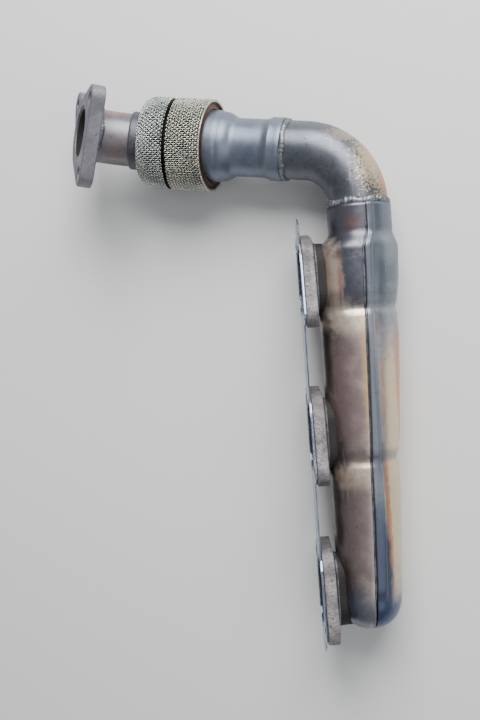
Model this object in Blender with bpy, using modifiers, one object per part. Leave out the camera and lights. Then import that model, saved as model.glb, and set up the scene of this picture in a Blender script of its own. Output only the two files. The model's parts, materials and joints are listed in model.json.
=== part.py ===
"""Exhaust manifold of one three-cylinder bank, with a flexible joint and a three-ear outlet flange."""
from math import asin, cos, pi, radians, sin

import bmesh
import bpy
import numpy as np
from mathutils import Matrix, Vector
from mathutils.geometry import convex_hull_2d

# The manifold is drawn with its port faces in the plane X = 0, looking towards -X,
# its ports in a row along Y and its middle port at the origin. It is laid down at the end.
# All sizes are in metres.

gap = 0.0003                    # between pieces that touch

# cylinder head side
port_pitch = 0.106
port_width = 0.044
port_height = 0.026
port_flange_thickness = 0.008
port_flange_rim = 0.0052
port_ear_along = 0.024
port_ear_across = 0.018
port_ear_radius = 0.009
port_stud_hole = 0.009
port_collar_wall = 0.0015
port_collar_reach = 0.014
port_collar_back = 0.0005       # the collar ends just inside the flange face
port_weld_radius = 0.0009
gasket_thickness = 0.001
gasket_strip_height = 0.022
gasket_strip_past_ports = 0.0425
gasket_edge_inset = 0.0012

# pressed shells
shell_wall = 0.0015
shell_clear_of_flange = 0.0025
shell_width_at_middle = 0.0495
shell_widening = 0.006095       # from one port to the next, towards the neck
shell_half_height = 0.027
shell_end_past_port = 0.027
shell_end_radius = 0.021
shoulder_past_port = 0.018
shoulder_length = 0.012
neck_length = 0.018
neck_centre_x = 0.042
seam_offset = 0.002
seam_underlap = 0.0055
seam_band = 0.009
seam_step = 0.0018              # width of the joggle that lifts the lapping edge
seam_butt_gap = 0.0014          # between the halves round the end
seam_run_in = 0.010            # length over which the lap starts, above the rounded end
seam_weld_radius = 0.0009
valley_from_port = (0.022, 0.018)
valley_depth = 0.0020
valley_width = 0.0050
port_cut_depth = 0.024

# inner pipes
liner_wall = 0.0008
liner_past_port = (0.0035, 0.0052, 0.0070)    # radius beyond half the height of a port
liner_clearance = 0.0015
liner_slip = 0.008
liner_end_past_port = 0.0245

# elbow and inlet pipe
pipe_radius = 0.0202
pipe_wall = 0.0015
pipe_in_neck = 0.010
elbow_bend_radius = 0.040
limb_azimuth = radians(10)      # how far the limb leans from -X towards the neck end
limb_elevation = radians(-15)
socket_start = 0.0155
socket_length = 0.009
socket_taper = 0.003
socket_overlap = 0.007          # length of the elbow inside the socket
weld_radius = 0.0012
inlet_pipe_length = 0.0625
bulge_past_pipe = 0.0048
bulge_length = 0.022
bulge_step = 0.0008
bulge_step_length = 0.0015
bulge_flare = 0.005

# flexible joint
flex_elevation = radians(-18)
flex_bend = radians(14)
flex_over_bulge = 0.011         # how far the joint reaches back over the inlet pipe
ring_past_bulge = 0.0077
ring_thickness = 0.0045
inlet_ring_length = 0.0285
crease_gap = 0.0025
outlet_ring_length = 0.024
ring_shoulder = 0.0016
outlet_ring_round_off = 0.014
outlet_ring_lip = 0.001         # thickness of the knit where it ends on the outlet pipe
cap_wall = 0.0008
cap_depth = 0.006
cap_lip_under_ring = 0.0017
cap_clear_of_pipe = 0.0012
bellows_under_ring = 0.0010
bellows_wave_depth = 0.0042
bellows_cuff_clearance = 0.0012
bellows_wall = 0.0004
bellows_cuff = 0.005
bellows_count = 4
bellows_lead = 0.001            # straight length between a cuff and the first wave
bellows_end_before_ring = 0.006
bellows_rise = 0.3              # share of a wave spent climbing to its crest
sleeve_wall = 0.0008
inlet_sleeve_under_bulge = 0.0045
inlet_sleeve_start = 0.002
inlet_sleeve_length = 0.026
inlet_sleeve_flare = 0.003
floating_sleeve_play = 0.0033
floating_sleeve_length = 0.024

# outlet side
outlet_under_pipe = 0.0014
outlet_wall = 0.0015
outlet_bend = radians(23)
outlet_bend_length = 0.033
outlet_in_cap = 0.010
outlet_cap_neck = 0.006
outlet_cap_depth = 0.013        # inside the outlet ring
outlet_cap_cuff = 0.006
outlet_cap_taper = 0.003
outlet_flange_thickness = 0.010
outlet_flange_back = 0.0012     # past the end of the bend
outlet_weld_radius = 0.0014
outlet_hub_past_pipe = 0.0072
outlet_arm_radius = 0.0170
outlet_ear_radius = 0.0095
outlet_ear_past_pipe = 0.0147
outlet_ear_angles = (radians(-55), radians(-157), radians(43))    # from the neck end, away from the floor first
outlet_stud_hole = 0.009

# sizes that follow from others
shell_taper = shell_widening / port_pitch
liner_radii = [port_height / 2 + past for past in liner_past_port]
bulge_radius = pipe_radius + bulge_past_pipe
flex_start = socket_start + inlet_pipe_length - flex_over_bulge    # from the end of the elbow
ring_radius = bulge_radius + ring_past_bulge
cap_lip_radius = ring_radius - cap_lip_under_ring
bellows_crest = ring_radius - ring_thickness - bellows_under_ring
bellows_root = bellows_crest - bellows_wave_depth
inlet_sleeve_radius = bulge_radius - inlet_sleeve_under_bulge
outlet_radius = pipe_radius - outlet_under_pipe
outlet_hub_radius = outlet_radius + outlet_hub_past_pipe
outlet_ear_circle = outlet_radius + outlet_ear_past_pipe
floating_sleeve_radius = inlet_sleeve_radius - floating_sleeve_play

fine = 28                       # sides of a round piece
coarse = 20

for old in list(bpy.data.objects):
    bpy.data.objects.remove(old, do_unlink=True)

manifold = bpy.data.collections.new("exhaust_manifold")
cutters = bpy.data.collections.new("cutters")
bpy.context.scene.collection.children.link(manifold)
bpy.context.scene.collection.children.link(cutters)
frame = bpy.data.objects.new("manifold_frame", None)
manifold.objects.link(frame)


# ---------------------------------------------------------------- helpers

def material(name, colour, roughness, metallic):
    made = bpy.data.materials.new(name)
    made.use_nodes = True
    shader = made.node_tree.nodes["Principled BSDF"]
    shader.inputs["Base Color"].default_value = (*colour, 1)
    shader.inputs["Roughness"].default_value = roughness
    shader.inputs["Metallic"].default_value = metallic
    return made


def add(name, mesh, place=Matrix.Identity(4), cutter=False):
    """Put a mesh in the scene, under the manifold's frame."""
    piece = bpy.data.objects.new(name, mesh)
    (cutters if cutter else manifold).objects.link(piece)
    piece.parent = frame
    piece.matrix_local = place
    if cutter:
        piece.hide_render = True
        piece.display_type = "WIRE"
    return piece


def finish(piece, colour, roughness=0.5, metallic=0.9):
    """Smooth the round faces and give the piece its own material."""
    piece.data.materials.clear()
    piece.data.materials.append(material(piece.name, colour, roughness, metallic))
    piece.data.shade_smooth()
    piece.data.set_sharp_from_angle(angle=radians(35))
    return piece


def facing(point, towards, up=Vector((0, 0, 1))):
    """A place at a point, with local Z towards a direction and local Y as near to up as it gets."""
    z = Vector(towards).normalized()
    x = Vector(up).cross(z).normalized()
    y = z.cross(x)
    turn = Matrix((x, y, z)).transposed().to_4x4()
    return Matrix.Translation(Vector(point)) @ turn


def turned(name, profile, place, sides=fine, cutter=False):
    """Turn a closed outline of (radius, height) points about local Z."""
    work = bmesh.new()
    corners = [work.verts.new((radius, 0, height)) for radius, height in profile]
    for a, b in zip(corners, corners[1:] + corners[:1]):
        work.edges.new((a, b))
    mesh = bpy.data.meshes.new(name)
    work.to_mesh(mesh)
    work.free()
    piece = add(name, mesh, place, cutter)
    screw = piece.modifiers.new("turn", "SCREW")
    screw.axis = "Z"
    screw.angle = 2 * pi
    screw.steps = sides
    screw.render_steps = sides
    screw.use_merge_vertices = True
    screw.merge_threshold = 0.00001
    return piece


def wall_outline(outside, wall):
    """The closed outline of a wall: its outside from top to bottom, then its inside back up."""
    down = sorted(outside, key=lambda point: -point[1])
    return down + [(radius - wall, height) for radius, height in reversed(down)]


def bend(piece, angle):
    """Bend a piece along local Z, from its origin on, towards local Y."""
    bending = piece.modifiers.new("bend", "SIMPLE_DEFORM")
    bending.deform_method = "BEND"
    bending.deform_axis = "X"
    bending.angle = angle
    return piece


def baked(piece):
    """The piece as it stands, as a mesh with its curve's caps welded."""
    seen = piece.evaluated_get(bpy.context.evaluated_depsgraph_get())
    mesh = bpy.data.meshes.new_from_object(seen)
    work = bmesh.new()
    work.from_mesh(mesh)
    bmesh.ops.remove_doubles(work, verts=work.verts, dist=0.00002)
    bmesh.ops.recalc_face_normals(work, faces=work.faces)
    work.to_mesh(mesh)
    work.free()
    return mesh


def from_curve(name, curve, place=Matrix.Identity(4), cutter=False):
    drawn = bpy.data.objects.new(name + "_curve", curve)
    manifold.objects.link(drawn)
    mesh = baked(drawn)
    bpy.data.objects.remove(drawn)
    mesh.name = name
    return add(name, mesh, place, cutter)


def tube(name, points, radius, sides=fine, closed=False, caps=True):
    """A round bar or an open tube along a list of points."""
    curve = bpy.data.curves.new(name, "CURVE")
    curve.dimensions = "3D"
    line = curve.splines.new("POLY")
    line.points.add(len(points) - 1)
    for spot, point in zip(line.points, points):
        spot.co = (*point, 1)
    line.use_cyclic_u = closed
    curve.bevel_depth = radius
    curve.bevel_resolution = sides // 2 - 2
    curve.use_fill_caps = caps and not closed
    return from_curve(name, curve)


def plate(name, outline, thickness, place, cutter=False):
    """A flat outline made thick, centred on local Z = 0."""
    curve = bpy.data.curves.new(name, "CURVE")
    curve.dimensions = "2D"
    curve.fill_mode = "BOTH"
    curve.extrude = thickness / 2
    line = curve.splines.new("POLY")
    line.points.add(len(outline) - 1)
    for spot, (x, y) in zip(line.points, outline):
        spot.co = (x, y, 0, 1)
    line.use_cyclic_u = True
    return from_curve(name, curve, place, cutter)


def circle(centre, radius, count=16):
    return [
        (centre[0] + radius * cos(2 * pi * i / count), centre[1] + radius * sin(2 * pi * i / count))
        for i in range(count)
    ]


def around(*circles):
    """The outline of a band stretched around circles, each a (centre, radius) pair."""
    points = [Vector(point) for centre, radius in circles for point in circle(centre, radius)]
    return [tuple(points[i]) for i in convex_hull_2d(points)]


def stadium(width, height):
    """An oval with straight sides, long in local X."""
    reach = (width - height) / 2
    return around(((-reach, 0), height / 2), ((reach, 0), height / 2))


def join(piece, other, operation):
    change = piece.modifiers.new(other.name, "BOOLEAN")
    change.operation = operation
    change.object = other
    change.solver = "EXACT"


# ---------------------------------------------------------------- places

port_ys = (port_pitch, 0.0, -port_pitch)
port_plane = Matrix(((0, 0, 1, 0), (1, 0, 0, 0), (0, 1, 0, 0), (0, 0, 0, 1)))


def at_port(y, x):
    """Local X runs along the row of ports, local Y up and local Z away from the head."""
    return Matrix.Translation((x, y, 0)) @ port_plane


shell_left = port_flange_thickness + shell_clear_of_flange
liner_x = shell_left + shell_wall + liner_clearance + max(liner_radii)
shell_low = -port_pitch - shell_end_past_port
shoulder_y = port_pitch + shoulder_past_port
neck_low = shoulder_y + shoulder_length
neck_top = neck_low + neck_length
neck_radius = pipe_radius + gap + shell_wall
valley_ys = (port_ys[0] - valley_from_port[0], port_ys[1] - valley_from_port[1])


def heading(azimuth, elevation):
    level = cos(elevation)
    return Vector((-cos(azimuth) * level, sin(azimuth) * level, sin(elevation)))


limb_heading = heading(limb_azimuth, limb_elevation)
along_row = Vector((0, 1, 0))
elbow_angle = along_row.angle(limb_heading)
elbow_side = (limb_heading - along_row * cos(elbow_angle)).normalized()
elbow_start = Vector((neck_centre_x, neck_top + 2 * (gap + weld_radius), 0))


def on_elbow(angle):
    """A point of the elbow's centre line."""
    reach = along_row * sin(angle) + elbow_side * (1 - cos(angle))
    return elbow_start + reach * elbow_bend_radius


elbow_end = on_elbow(elbow_angle)


def on_limb(distance):
    return elbow_end + limb_heading * distance


def arc(start, azimuth, elevation, curvature, distance):
    """The place reached by following a line that bends upwards evenly."""
    steps = 32
    point = Vector(start)
    for i in range(steps):
        point += heading(azimuth, elevation + curvature * distance * (i + 0.5) / steps) * distance / steps
    return facing(point, heading(azimuth, elevation + curvature * distance))


flex_length = inlet_ring_length + crease_gap + outlet_ring_length
flex_curvature = flex_bend / flex_length


def on_flex(distance):
    """A place on the flexible joint's centre line, counted from its inlet end."""
    return arc(on_limb(flex_start), limb_azimuth, flex_elevation, flex_curvature, distance)


outlet_start = on_flex(flex_length).translation
outlet_elevation = flex_elevation + flex_bend
outlet_curvature = outlet_bend / outlet_bend_length


def on_outlet(distance):
    """A place on the outlet pipe's centre line, counted from the end of the flexible joint."""
    return arc(outlet_start, limb_azimuth, outlet_elevation, outlet_curvature, distance)


crease = on_flex(inlet_ring_length + crease_gap / 2)


# ---------------------------------------------------------------- port flanges, collars and gasket

def ear_centres():
    return ((port_ear_along, -port_ear_across), (-port_ear_along, port_ear_across))


collar_width = port_width + 2 * port_collar_wall
collar_height = port_height + 2 * port_collar_wall
hub_reach = (collar_width - collar_height) / 2
hub_radius = collar_height / 2 + gap + port_flange_rim


def flange_outline(inset=0.0):
    hub = [((side * hub_reach, 0), hub_radius - inset) for side in (-1, 1)]
    ears = [(centre, port_ear_radius - inset) for centre in ear_centres()]
    return around(*hub, *ears)


def cut_port(piece, y, x, depth, width, height):
    oval = plate(f"{piece.name}_port_{y * 1000:.0f}", stadium(width, height), depth, at_port(y, x), True)
    join(piece, oval, "DIFFERENCE")


def cut_studs(piece, y, x, depth):
    for i, centre in enumerate(ear_centres()):
        name = f"{piece.name}_stud_{y * 1000:.0f}_{i}"
        hole = plate(name, circle(centre, port_stud_hole / 2, 12), depth, at_port(y, x), True)
        join(piece, hole, "DIFFERENCE")


def port_flange(number, y):
    middle = port_flange_thickness / 2
    flange = plate(f"port_flange_{number}", flange_outline(), port_flange_thickness, at_port(y, middle))
    through = 2 * port_flange_thickness
    cut_port(flange, y, middle, through, collar_width + 2 * gap, collar_height + 2 * gap)
    cut_studs(flange, y, middle, through)
    return finish(flange, (0.19, 0.18, 0.17), 0.75, 0.7)


def port_collar(number, y):
    start = port_collar_back
    middle = (start + shell_left + port_collar_reach) / 2
    length = shell_left + port_collar_reach - start
    collar = plate(f"port_collar_{number}", stadium(collar_width, collar_height), length, at_port(y, middle))
    cut_port(collar, y, middle, 2 * length, port_width, port_height)
    return finish(collar, (0.20, 0.17, 0.15), 0.6, 0.8)


def port_weld(number, y):
    x = port_flange_thickness + gap + port_weld_radius
    out = 2 * (gap + port_weld_radius)
    ring = stadium(collar_width + out, collar_height + out)
    path = [at_port(y, x) @ Vector((a, b, 0)) for a, b in ring]
    return finish(tube(f"port_weld_{number}", path, port_weld_radius, 6, closed=True), (0.25, 0.2, 0.17), 0.7, 0.8)


def gasket():
    x = -gap - gasket_thickness / 2
    first, *others = port_ys
    sheet = plate("gasket", flange_outline(gasket_edge_inset), gasket_thickness, at_port(first, x))
    for y in others:
        name = f"gasket_at_{y * 1000:.0f}"
        join(sheet, plate(name, flange_outline(gasket_edge_inset), gasket_thickness, at_port(y, x), True), "UNION")
    reach = port_pitch + gasket_strip_past_ports
    half = gasket_strip_height / 2
    tip = half / 2
    strip = [(-reach, 0), (-reach + tip, -half), (reach - tip, -half), (reach, 0), (reach - tip, half), (-reach + tip, half)]
    join(sheet, plate("gasket_strip", strip, gasket_thickness, at_port(0, x), True), "UNION")
    for y in port_ys:
        cut_port(sheet, y, x, 4 * gasket_thickness, port_width, port_height)
        cut_studs(sheet, y, x, 4 * gasket_thickness)
    return finish(sheet, (0.30, 0.32, 0.36), 0.35, 1.0)


# ---------------------------------------------------------------- pressed shells

def smooth(value):
    value = min(max(value, 0), 1)
    return value * value * (3 - 2 * value)


def shell_section(y):
    """The shells' middle, half width and half height at one place along the row."""
    half_width = (shell_width_at_middle + shell_taper * y) / 2
    half_height = shell_half_height
    middle = shell_left + half_width
    into_neck = smooth((y - shoulder_y) / shoulder_length)
    half_width += (neck_radius - half_width) * into_neck
    half_height += (neck_radius - half_height) * into_neck
    middle += (neck_centre_x - middle) * into_neck
    into_end = (shell_low + shell_end_radius - y) / shell_end_radius
    if into_end > 0:
        shrink = shell_end_radius * (1 - (max(1 - into_end ** 2, 0)) ** 0.5)
        half_width -= shrink
        half_height -= shrink
    return middle, half_width, half_height


def shell_point(y, angle, raised=0.0):
    """A point of the shells' outside; angle 0 looks away from the head."""
    middle, half_width, half_height = shell_section(y)
    facing_out = smooth((cos(angle) + 0.9) / 0.6)
    dent = sum(valley_depth * max(1 - ((y - valley) / valley_width) ** 2, 0) for valley in valley_ys)
    raised -= dent * facing_out
    return Vector((
        middle + (half_width + raised) * cos(angle),
        y,
        (half_height + raised) * sin(angle),
    ))


def shell_stations():
    end = [shell_low + shell_end_radius * (1 - cos(radians(a))) for a in (26, 40, 55, 72, 90)]
    body = np.linspace(shell_low + shell_end_radius, shoulder_y, 9)[1:].tolist()
    dents = [valley + side * valley_width for valley in valley_ys for side in (-1.0, 0, 1.0)]
    clear = [y for y in body if all(abs(y - valley) > 1.6 * valley_width for valley in valley_ys)]
    dome_top = shell_low + shell_end_radius
    run_in = [dome_top + seam_run_in, dome_top + 2 * seam_run_in]
    clear = [y for y in clear if y > run_in[1] + seam_run_in / 2]
    shoulder = [shoulder_y + shoulder_length * share for share in (0.3, 0.65, 1.0)]
    return sorted(end + run_in + clear + dents + shoulder + [neck_top - neck_length / 2, neck_top])


def half_shell(name, side):
    """One pressed half, from its lower seam edge round to its upper one. The outer side laps the port side."""
    work = bmesh.new()
    rows = []
    for y in shell_stations():
        half_height = shell_section(y)[2]
        above_end = y - shell_low - shell_end_radius
        if side > 0:
            past = asin(-seam_offset / half_height)
            lift = (shell_wall + 2 * gap) * smooth(above_end / seam_run_in)
        else:
            lap = smooth(above_end / seam_run_in - 1)
            past = asin((seam_offset - seam_butt_gap + (seam_underlap + seam_butt_gap) * lap) / half_height)
            lift = 0.0
        limit = pi / 2 + past
        band = [(limit - distance / half_height, lift) for distance in (0, seam_band / 2, seam_band - seam_step)]
        inside = limit - seam_band / shell_half_height
        plain = [(inside * share, 0.0) for share in (1, 0.8, 0.6, 0.4, 0.2)]
        half = band + plain if above_end >= 0 else [(limit * (1 - i / 8), 0.0) for i in range(8)]
        turns = [(-angle, raised) for angle, raised in half] + [(0, 0.0)] + half[::-1]
        row = [
            work.verts.new(shell_point(y, angle if side > 0 else pi - angle, raised))
            for angle, raised in turns
        ]
        rows.append(row)
    for low, high in zip(rows, rows[1:]):
        for i in range(len(low) - 1):
            work.faces.new((low[i], low[i + 1], high[i + 1], high[i]))
    pole = work.verts.new(((rows[0][0].co.x + rows[0][-1].co.x) / 2, shell_low, 0))
    for a, b in zip(rows[0], rows[0][1:]):
        work.faces.new((pole, a, b))
    bmesh.ops.recalc_face_normals(work, faces=work.faces)
    outward = Vector((side, 0, 0))
    if max(work.faces, key=lambda face: face.calc_center_median().dot(outward)).normal.dot(outward) < 0:
        bmesh.ops.reverse_faces(work, faces=work.faces)
    mesh = bpy.data.meshes.new(name)
    work.to_mesh(mesh)
    work.free()
    shell = add(name, mesh)
    thick = shell.modifiers.new("wall", "SOLIDIFY")
    thick.thickness = shell_wall
    thick.offset = -1
    thick.use_even_offset = True
    return shell


def port_side_shell():
    shell = half_shell("shell_port_side", -1)
    for y in port_ys:
        width = collar_width + 2 * gap
        place = shell_left + port_cut_depth / 4
        cut_port(shell, y, place, port_cut_depth, width, collar_height + 2 * gap)
    return finish(shell, (0.34, 0.24, 0.18), 0.42, 0.9)


def outer_shell():
    shell = half_shell("shell_outer_side", 1)
    return finish(shell, (0.13, 0.14, 0.17), 0.45, 0.9)


def seam_weld(name, up):
    """The bead in the corner between the port side shell and the raised edge that laps it."""
    points = []
    for y in shell_stations():
        half_height = shell_section(y)[2]
        if y < shell_low + shell_end_radius or y == neck_top:
            continue
        back = seam_offset - 2 * gap - seam_weld_radius
        angle = pi / 2 - back / half_height
        points.append(shell_point(y, angle * up, 2 * gap + seam_weld_radius))
    return finish(tube(name, points, seam_weld_radius, 6), (0.10, 0.10, 0.11), 0.6, 0.8)


# ---------------------------------------------------------------- inner pipes

def domed_outline(radius, length, wall):
    """A pipe's closed outline with a round end at height 0."""
    turns = [radians(degrees) for degrees in (75, 50, 25, 0)]
    outside = [(radius * cos(a), radius * (1 - sin(a))) for a in turns]
    inside = [((radius - wall) * cos(a), radius - (radius - wall) * sin(a)) for a in turns]
    down = [(radius, length), *reversed(outside), (0, 0)]
    return down + [(0, wall), *inside, (radius - wall, length)]


def liner(name, number, low, high, domed=False):
    radius = liner_radii[number]
    if domed:
        outline = domed_outline(radius, high - low, liner_wall)
    else:
        outline = wall_outline([(radius, 0), (radius, high - low)], liner_wall)
    pipe = turned(name, outline, facing((liner_x, low, 0), (0, 1, 0)), coarse)
    y = port_ys[2 - number]
    cut_port(pipe, y, liner_x - radius, 2 * radius, collar_width + 2 * gap, collar_height + 2 * gap)
    return finish(pipe, (0.25, 0.22, 0.20), 0.5, 0.9)


def liners():
    low_joint = valley_ys[1] - port_pitch / 4
    high_joint = valley_ys[0] - port_pitch / 6
    liner("liner_lower", 0, -port_pitch - liner_end_past_port, low_joint + liner_slip, True)
    liner("liner_middle", 1, low_joint, high_joint + liner_slip)
    liner("liner_upper", 2, high_joint, shoulder_y)


# ---------------------------------------------------------------- elbow and inlet pipe

def weld_ring(name, radius, place, size=weld_radius):
    """A round bead that lies around a pipe."""
    outline = [
        (radius + gap + size * (1 + cos(a)), size * sin(a))
        for a in [-2 * pi * i / 6 for i in range(6)]
    ]
    return finish(turned(name, outline, place), (0.22, 0.22, 0.23), 0.6, 0.9)


def elbow():
    bends = [on_elbow(elbow_angle * i / 10) for i in range(11)]
    start = Vector((neck_centre_x, neck_top - pipe_in_neck, 0))
    end = on_limb(socket_start + socket_overlap)
    pipe = tube("elbow_pipe", [start, *bends, end], pipe_radius, fine, caps=False)
    thick = pipe.modifiers.new("wall", "SOLIDIFY")
    thick.thickness = pipe_wall
    thick.offset = -1
    finish(pipe, (0.17, 0.16, 0.16), 0.45, 0.9)
    weld_ring("neck_weld", pipe_radius, facing(elbow_start - along_row * (gap + weld_radius), along_row))
    weld_ring("elbow_weld", pipe_radius, facing(on_limb(socket_start - gap - weld_radius), limb_heading))


def inlet_pipe():
    """The pipe into the flexible joint: a socket over the elbow, a plain run and a stepped bulge."""
    socket = pipe_radius + gap + pipe_wall
    end = socket_start + inlet_pipe_length
    bulge = end - bulge_length
    outside = [
        (socket, socket_start),
        (socket, socket_start + socket_length),
        (pipe_radius, socket_start + socket_length + socket_taper),
        (pipe_radius, bulge - bulge_flare),
        (bulge_radius - 2 * bulge_step, bulge),
        (bulge_radius - bulge_step, bulge + bulge_step_length),
        (bulge_radius - bulge_step, bulge + 2 * bulge_step_length),
        (bulge_radius, bulge + 3 * bulge_step_length),
        (bulge_radius, end),
    ]
    pipe = turned("inlet_pipe", wall_outline(outside, pipe_wall), facing(elbow_end, limb_heading))
    return finish(pipe, (0.17, 0.19, 0.22), 0.42, 0.9)


# ---------------------------------------------------------------- flexible joint

def inlet_cap():
    """The dished sheet ring that closes the inlet end behind the rim of the knitted sleeve."""
    inner = bulge_radius + cap_clear_of_pipe
    outline = [
        (cap_lip_radius, cap_depth),
        (cap_lip_radius, 0),
        (cap_lip_radius - cap_wall, 0),
        (cap_lip_radius - cap_wall, cap_depth - cap_wall),
        (inner, cap_depth - cap_wall),
        (inner, cap_depth),
    ]
    cap = bend(turned("inlet_cap", outline, on_flex(0)), flex_curvature * cap_depth)
    return finish(cap, (0.22, 0.12, 0.07), 0.55, 0.8)


def inlet_ring():
    inside = ring_radius - ring_thickness
    lip = cap_lip_radius + gap
    top = inlet_ring_length
    low = cap_depth + gap
    outline = [
        (inside, top),
        (ring_radius - ring_shoulder, top),
        (ring_radius - ring_shoulder / 3, top - ring_shoulder / 3),
        (ring_radius, top - ring_shoulder),
        (ring_radius, top / 2),
        (ring_radius, 0),
        (lip, 0),
        (lip, low),
        (inside, low),
        (inside, top / 2),
    ]
    ring = turned("inlet_mesh_ring", outline, on_flex(0))
    bend(ring, flex_curvature * top)
    return finish(ring, (0.42, 0.41, 0.34), 0.6, 0.9)


def outlet_ring():
    start = inlet_ring_length + crease_gap
    inside = ring_radius - ring_thickness
    end = outlet_ring_length
    neck = outlet_radius + 3 * gap + outlet_wall
    round_off = outlet_ring_round_off
    shoulder = [
        (ring_radius - round_off * (1 - cos(a)), end - round_off * (1 - sin(a)))
        for a in (radians(d) for d in (75, 52, 28, 0))
    ]
    outline = [
        (neck, end - outlet_ring_lip),
        *shoulder,
        (ring_radius, ring_shoulder),
        (ring_radius - ring_shoulder / 3, ring_shoulder / 3),
        (ring_radius - ring_shoulder, 0),
        (inside, 0),
        (inside, end / 2),
        (inside, end - round_off + 3 * outlet_ring_lip),
        (neck, end - 4 * outlet_ring_lip),
    ]
    ring = turned("outlet_mesh_ring", outline, on_flex(start))
    bend(ring, flex_curvature * end)
    return finish(ring, (0.36, 0.39, 0.37), 0.6, 0.9)


def bellows():
    """Corrugated tube between the inlet pipe's bulge and the outlet cap."""
    start = socket_start + inlet_pipe_length - flex_start - bellows_cuff
    end = flex_length - bellows_end_before_ring
    wave_start = start + bellows_cuff + bellows_lead
    pitch = (end - bellows_cuff - wave_start) / bellows_count
    cuff = bulge_radius - pipe_wall - bellows_cuff_clearance
    outside = [(cuff, start), (cuff, wave_start)]
    for i in range(bellows_count):
        foot = wave_start + i * pitch
        crest = foot + bellows_rise * pitch
        root = foot + 3 * bellows_rise * pitch
        outside += [(bellows_crest, crest), (bellows_crest, crest + bellows_rise * pitch)]
        outside += [(bellows_root, root), (bellows_root, foot + pitch)]
    outside.pop()
    outside += [(cuff, end - bellows_cuff), (cuff, end)]
    shifted = [(radius, height - start) for radius, height in outside]
    tube_piece = turned("bellows", wall_outline(shifted, bellows_wall), on_flex(start))
    bend(tube_piece, flex_curvature * (end - start))
    return finish(tube_piece, (0.30, 0.27, 0.22), 0.4, 0.95)


def inlet_sleeve():
    """The gas liner that is fixed inside the inlet pipe's bulge."""
    flare = bulge_radius - pipe_wall - bellows_cuff_clearance
    outside = [
        (flare, 0),
        (flare, inlet_sleeve_start),
        (inlet_sleeve_radius, inlet_sleeve_start + inlet_sleeve_flare),
        (inlet_sleeve_radius, inlet_sleeve_length),
    ]
    sleeve = turned("inlet_sleeve", wall_outline(outside, sleeve_wall), on_flex(inlet_sleeve_start), coarse)
    return finish(sleeve, (0.26, 0.23, 0.20), 0.45, 0.9)


def floating_sleeve():
    """The loose gas liner that slides in the inlet sleeve as the joint is squeezed or stretched."""
    outside = [(floating_sleeve_radius, 0), (floating_sleeve_radius, floating_sleeve_length)]
    place = crease.copy()
    place.translation = crease @ Vector((0, 0, -floating_sleeve_length / 2))
    sleeve = turned("floating_sleeve", wall_outline(outside, sleeve_wall), place, coarse)
    return finish(sleeve, (0.27, 0.24, 0.21), 0.45, 0.9)


def outlet_cap():
    """The cone that holds the bellows on one side and the outlet pipe on the other."""
    neck = outlet_radius + gap + outlet_wall
    cuff = bulge_radius - pipe_wall - bellows_cuff_clearance - bellows_wall - gap
    base = flex_length - outlet_cap_depth
    top = outlet_cap_depth + outlet_cap_neck
    outside = [(cuff, 0), (cuff, outlet_cap_cuff), (neck, outlet_cap_cuff + outlet_cap_taper), (neck, top)]
    cap = turned("outlet_cap", wall_outline(outside, pipe_wall), on_flex(base))
    bend(cap, flex_curvature * top)
    return finish(cap, (0.20, 0.19, 0.18), 0.5, 0.9)


# ---------------------------------------------------------------- outlet

def outlet_pipe():
    steps = 4
    inner = on_flex(flex_length - outlet_in_cap).translation
    bends = [on_outlet(outlet_bend_length * i / steps).translation for i in range(steps + 1)]
    outer = on_outlet(outlet_bend_length) @ Vector((0, 0, outlet_flange_thickness))
    pipe = tube("outlet_pipe", [inner, *bends, outer], outlet_radius, fine, caps=False)
    thick = pipe.modifiers.new("wall", "SOLIDIFY")
    thick.thickness = outlet_wall
    thick.offset = -1
    return finish(pipe, (0.24, 0.22, 0.21), 0.45, 0.9)


def outlet_flange():
    """The thick three-ear flange, square to the end of the outlet pipe."""
    bend_end = on_outlet(outlet_bend_length)
    place = bend_end @ Matrix.Translation((0, 0, outlet_flange_back + outlet_flange_thickness / 2))
    ears = [(-outlet_ear_circle * cos(angle), -outlet_ear_circle * sin(angle)) for angle in outlet_ear_angles]
    near = [(ear, outlet_ear_radius) for ear in ears[:2]]
    flange = plate("outlet_flange", around(((0, 0), outlet_hub_radius), *near), outlet_flange_thickness, place)
    arm = around(((0, 0), outlet_arm_radius), (ears[2], outlet_ear_radius))
    join(flange, plate("outlet_far_arm", arm, outlet_flange_thickness, place, True), "UNION")
    bore = circle((0, 0), outlet_radius + gap, fine)
    join(flange, plate("outlet_bore", bore, 3 * outlet_flange_thickness, place, True), "DIFFERENCE")
    for i, ear in enumerate(ears):
        hole = circle(ear, outlet_stud_hole / 2, 12)
        join(flange, plate(f"outlet_stud_{i}", hole, 3 * outlet_flange_thickness, place, True), "DIFFERENCE")
    back = bend_end @ Matrix.Translation((0, 0, outlet_flange_back - gap - outlet_weld_radius))
    weld_ring("outlet_weld", outlet_radius + gap, back, outlet_weld_radius)
    return finish(flange, (0.24, 0.24, 0.26), 0.6, 0.8)


# ---------------------------------------------------------------- laying the manifold down

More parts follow.
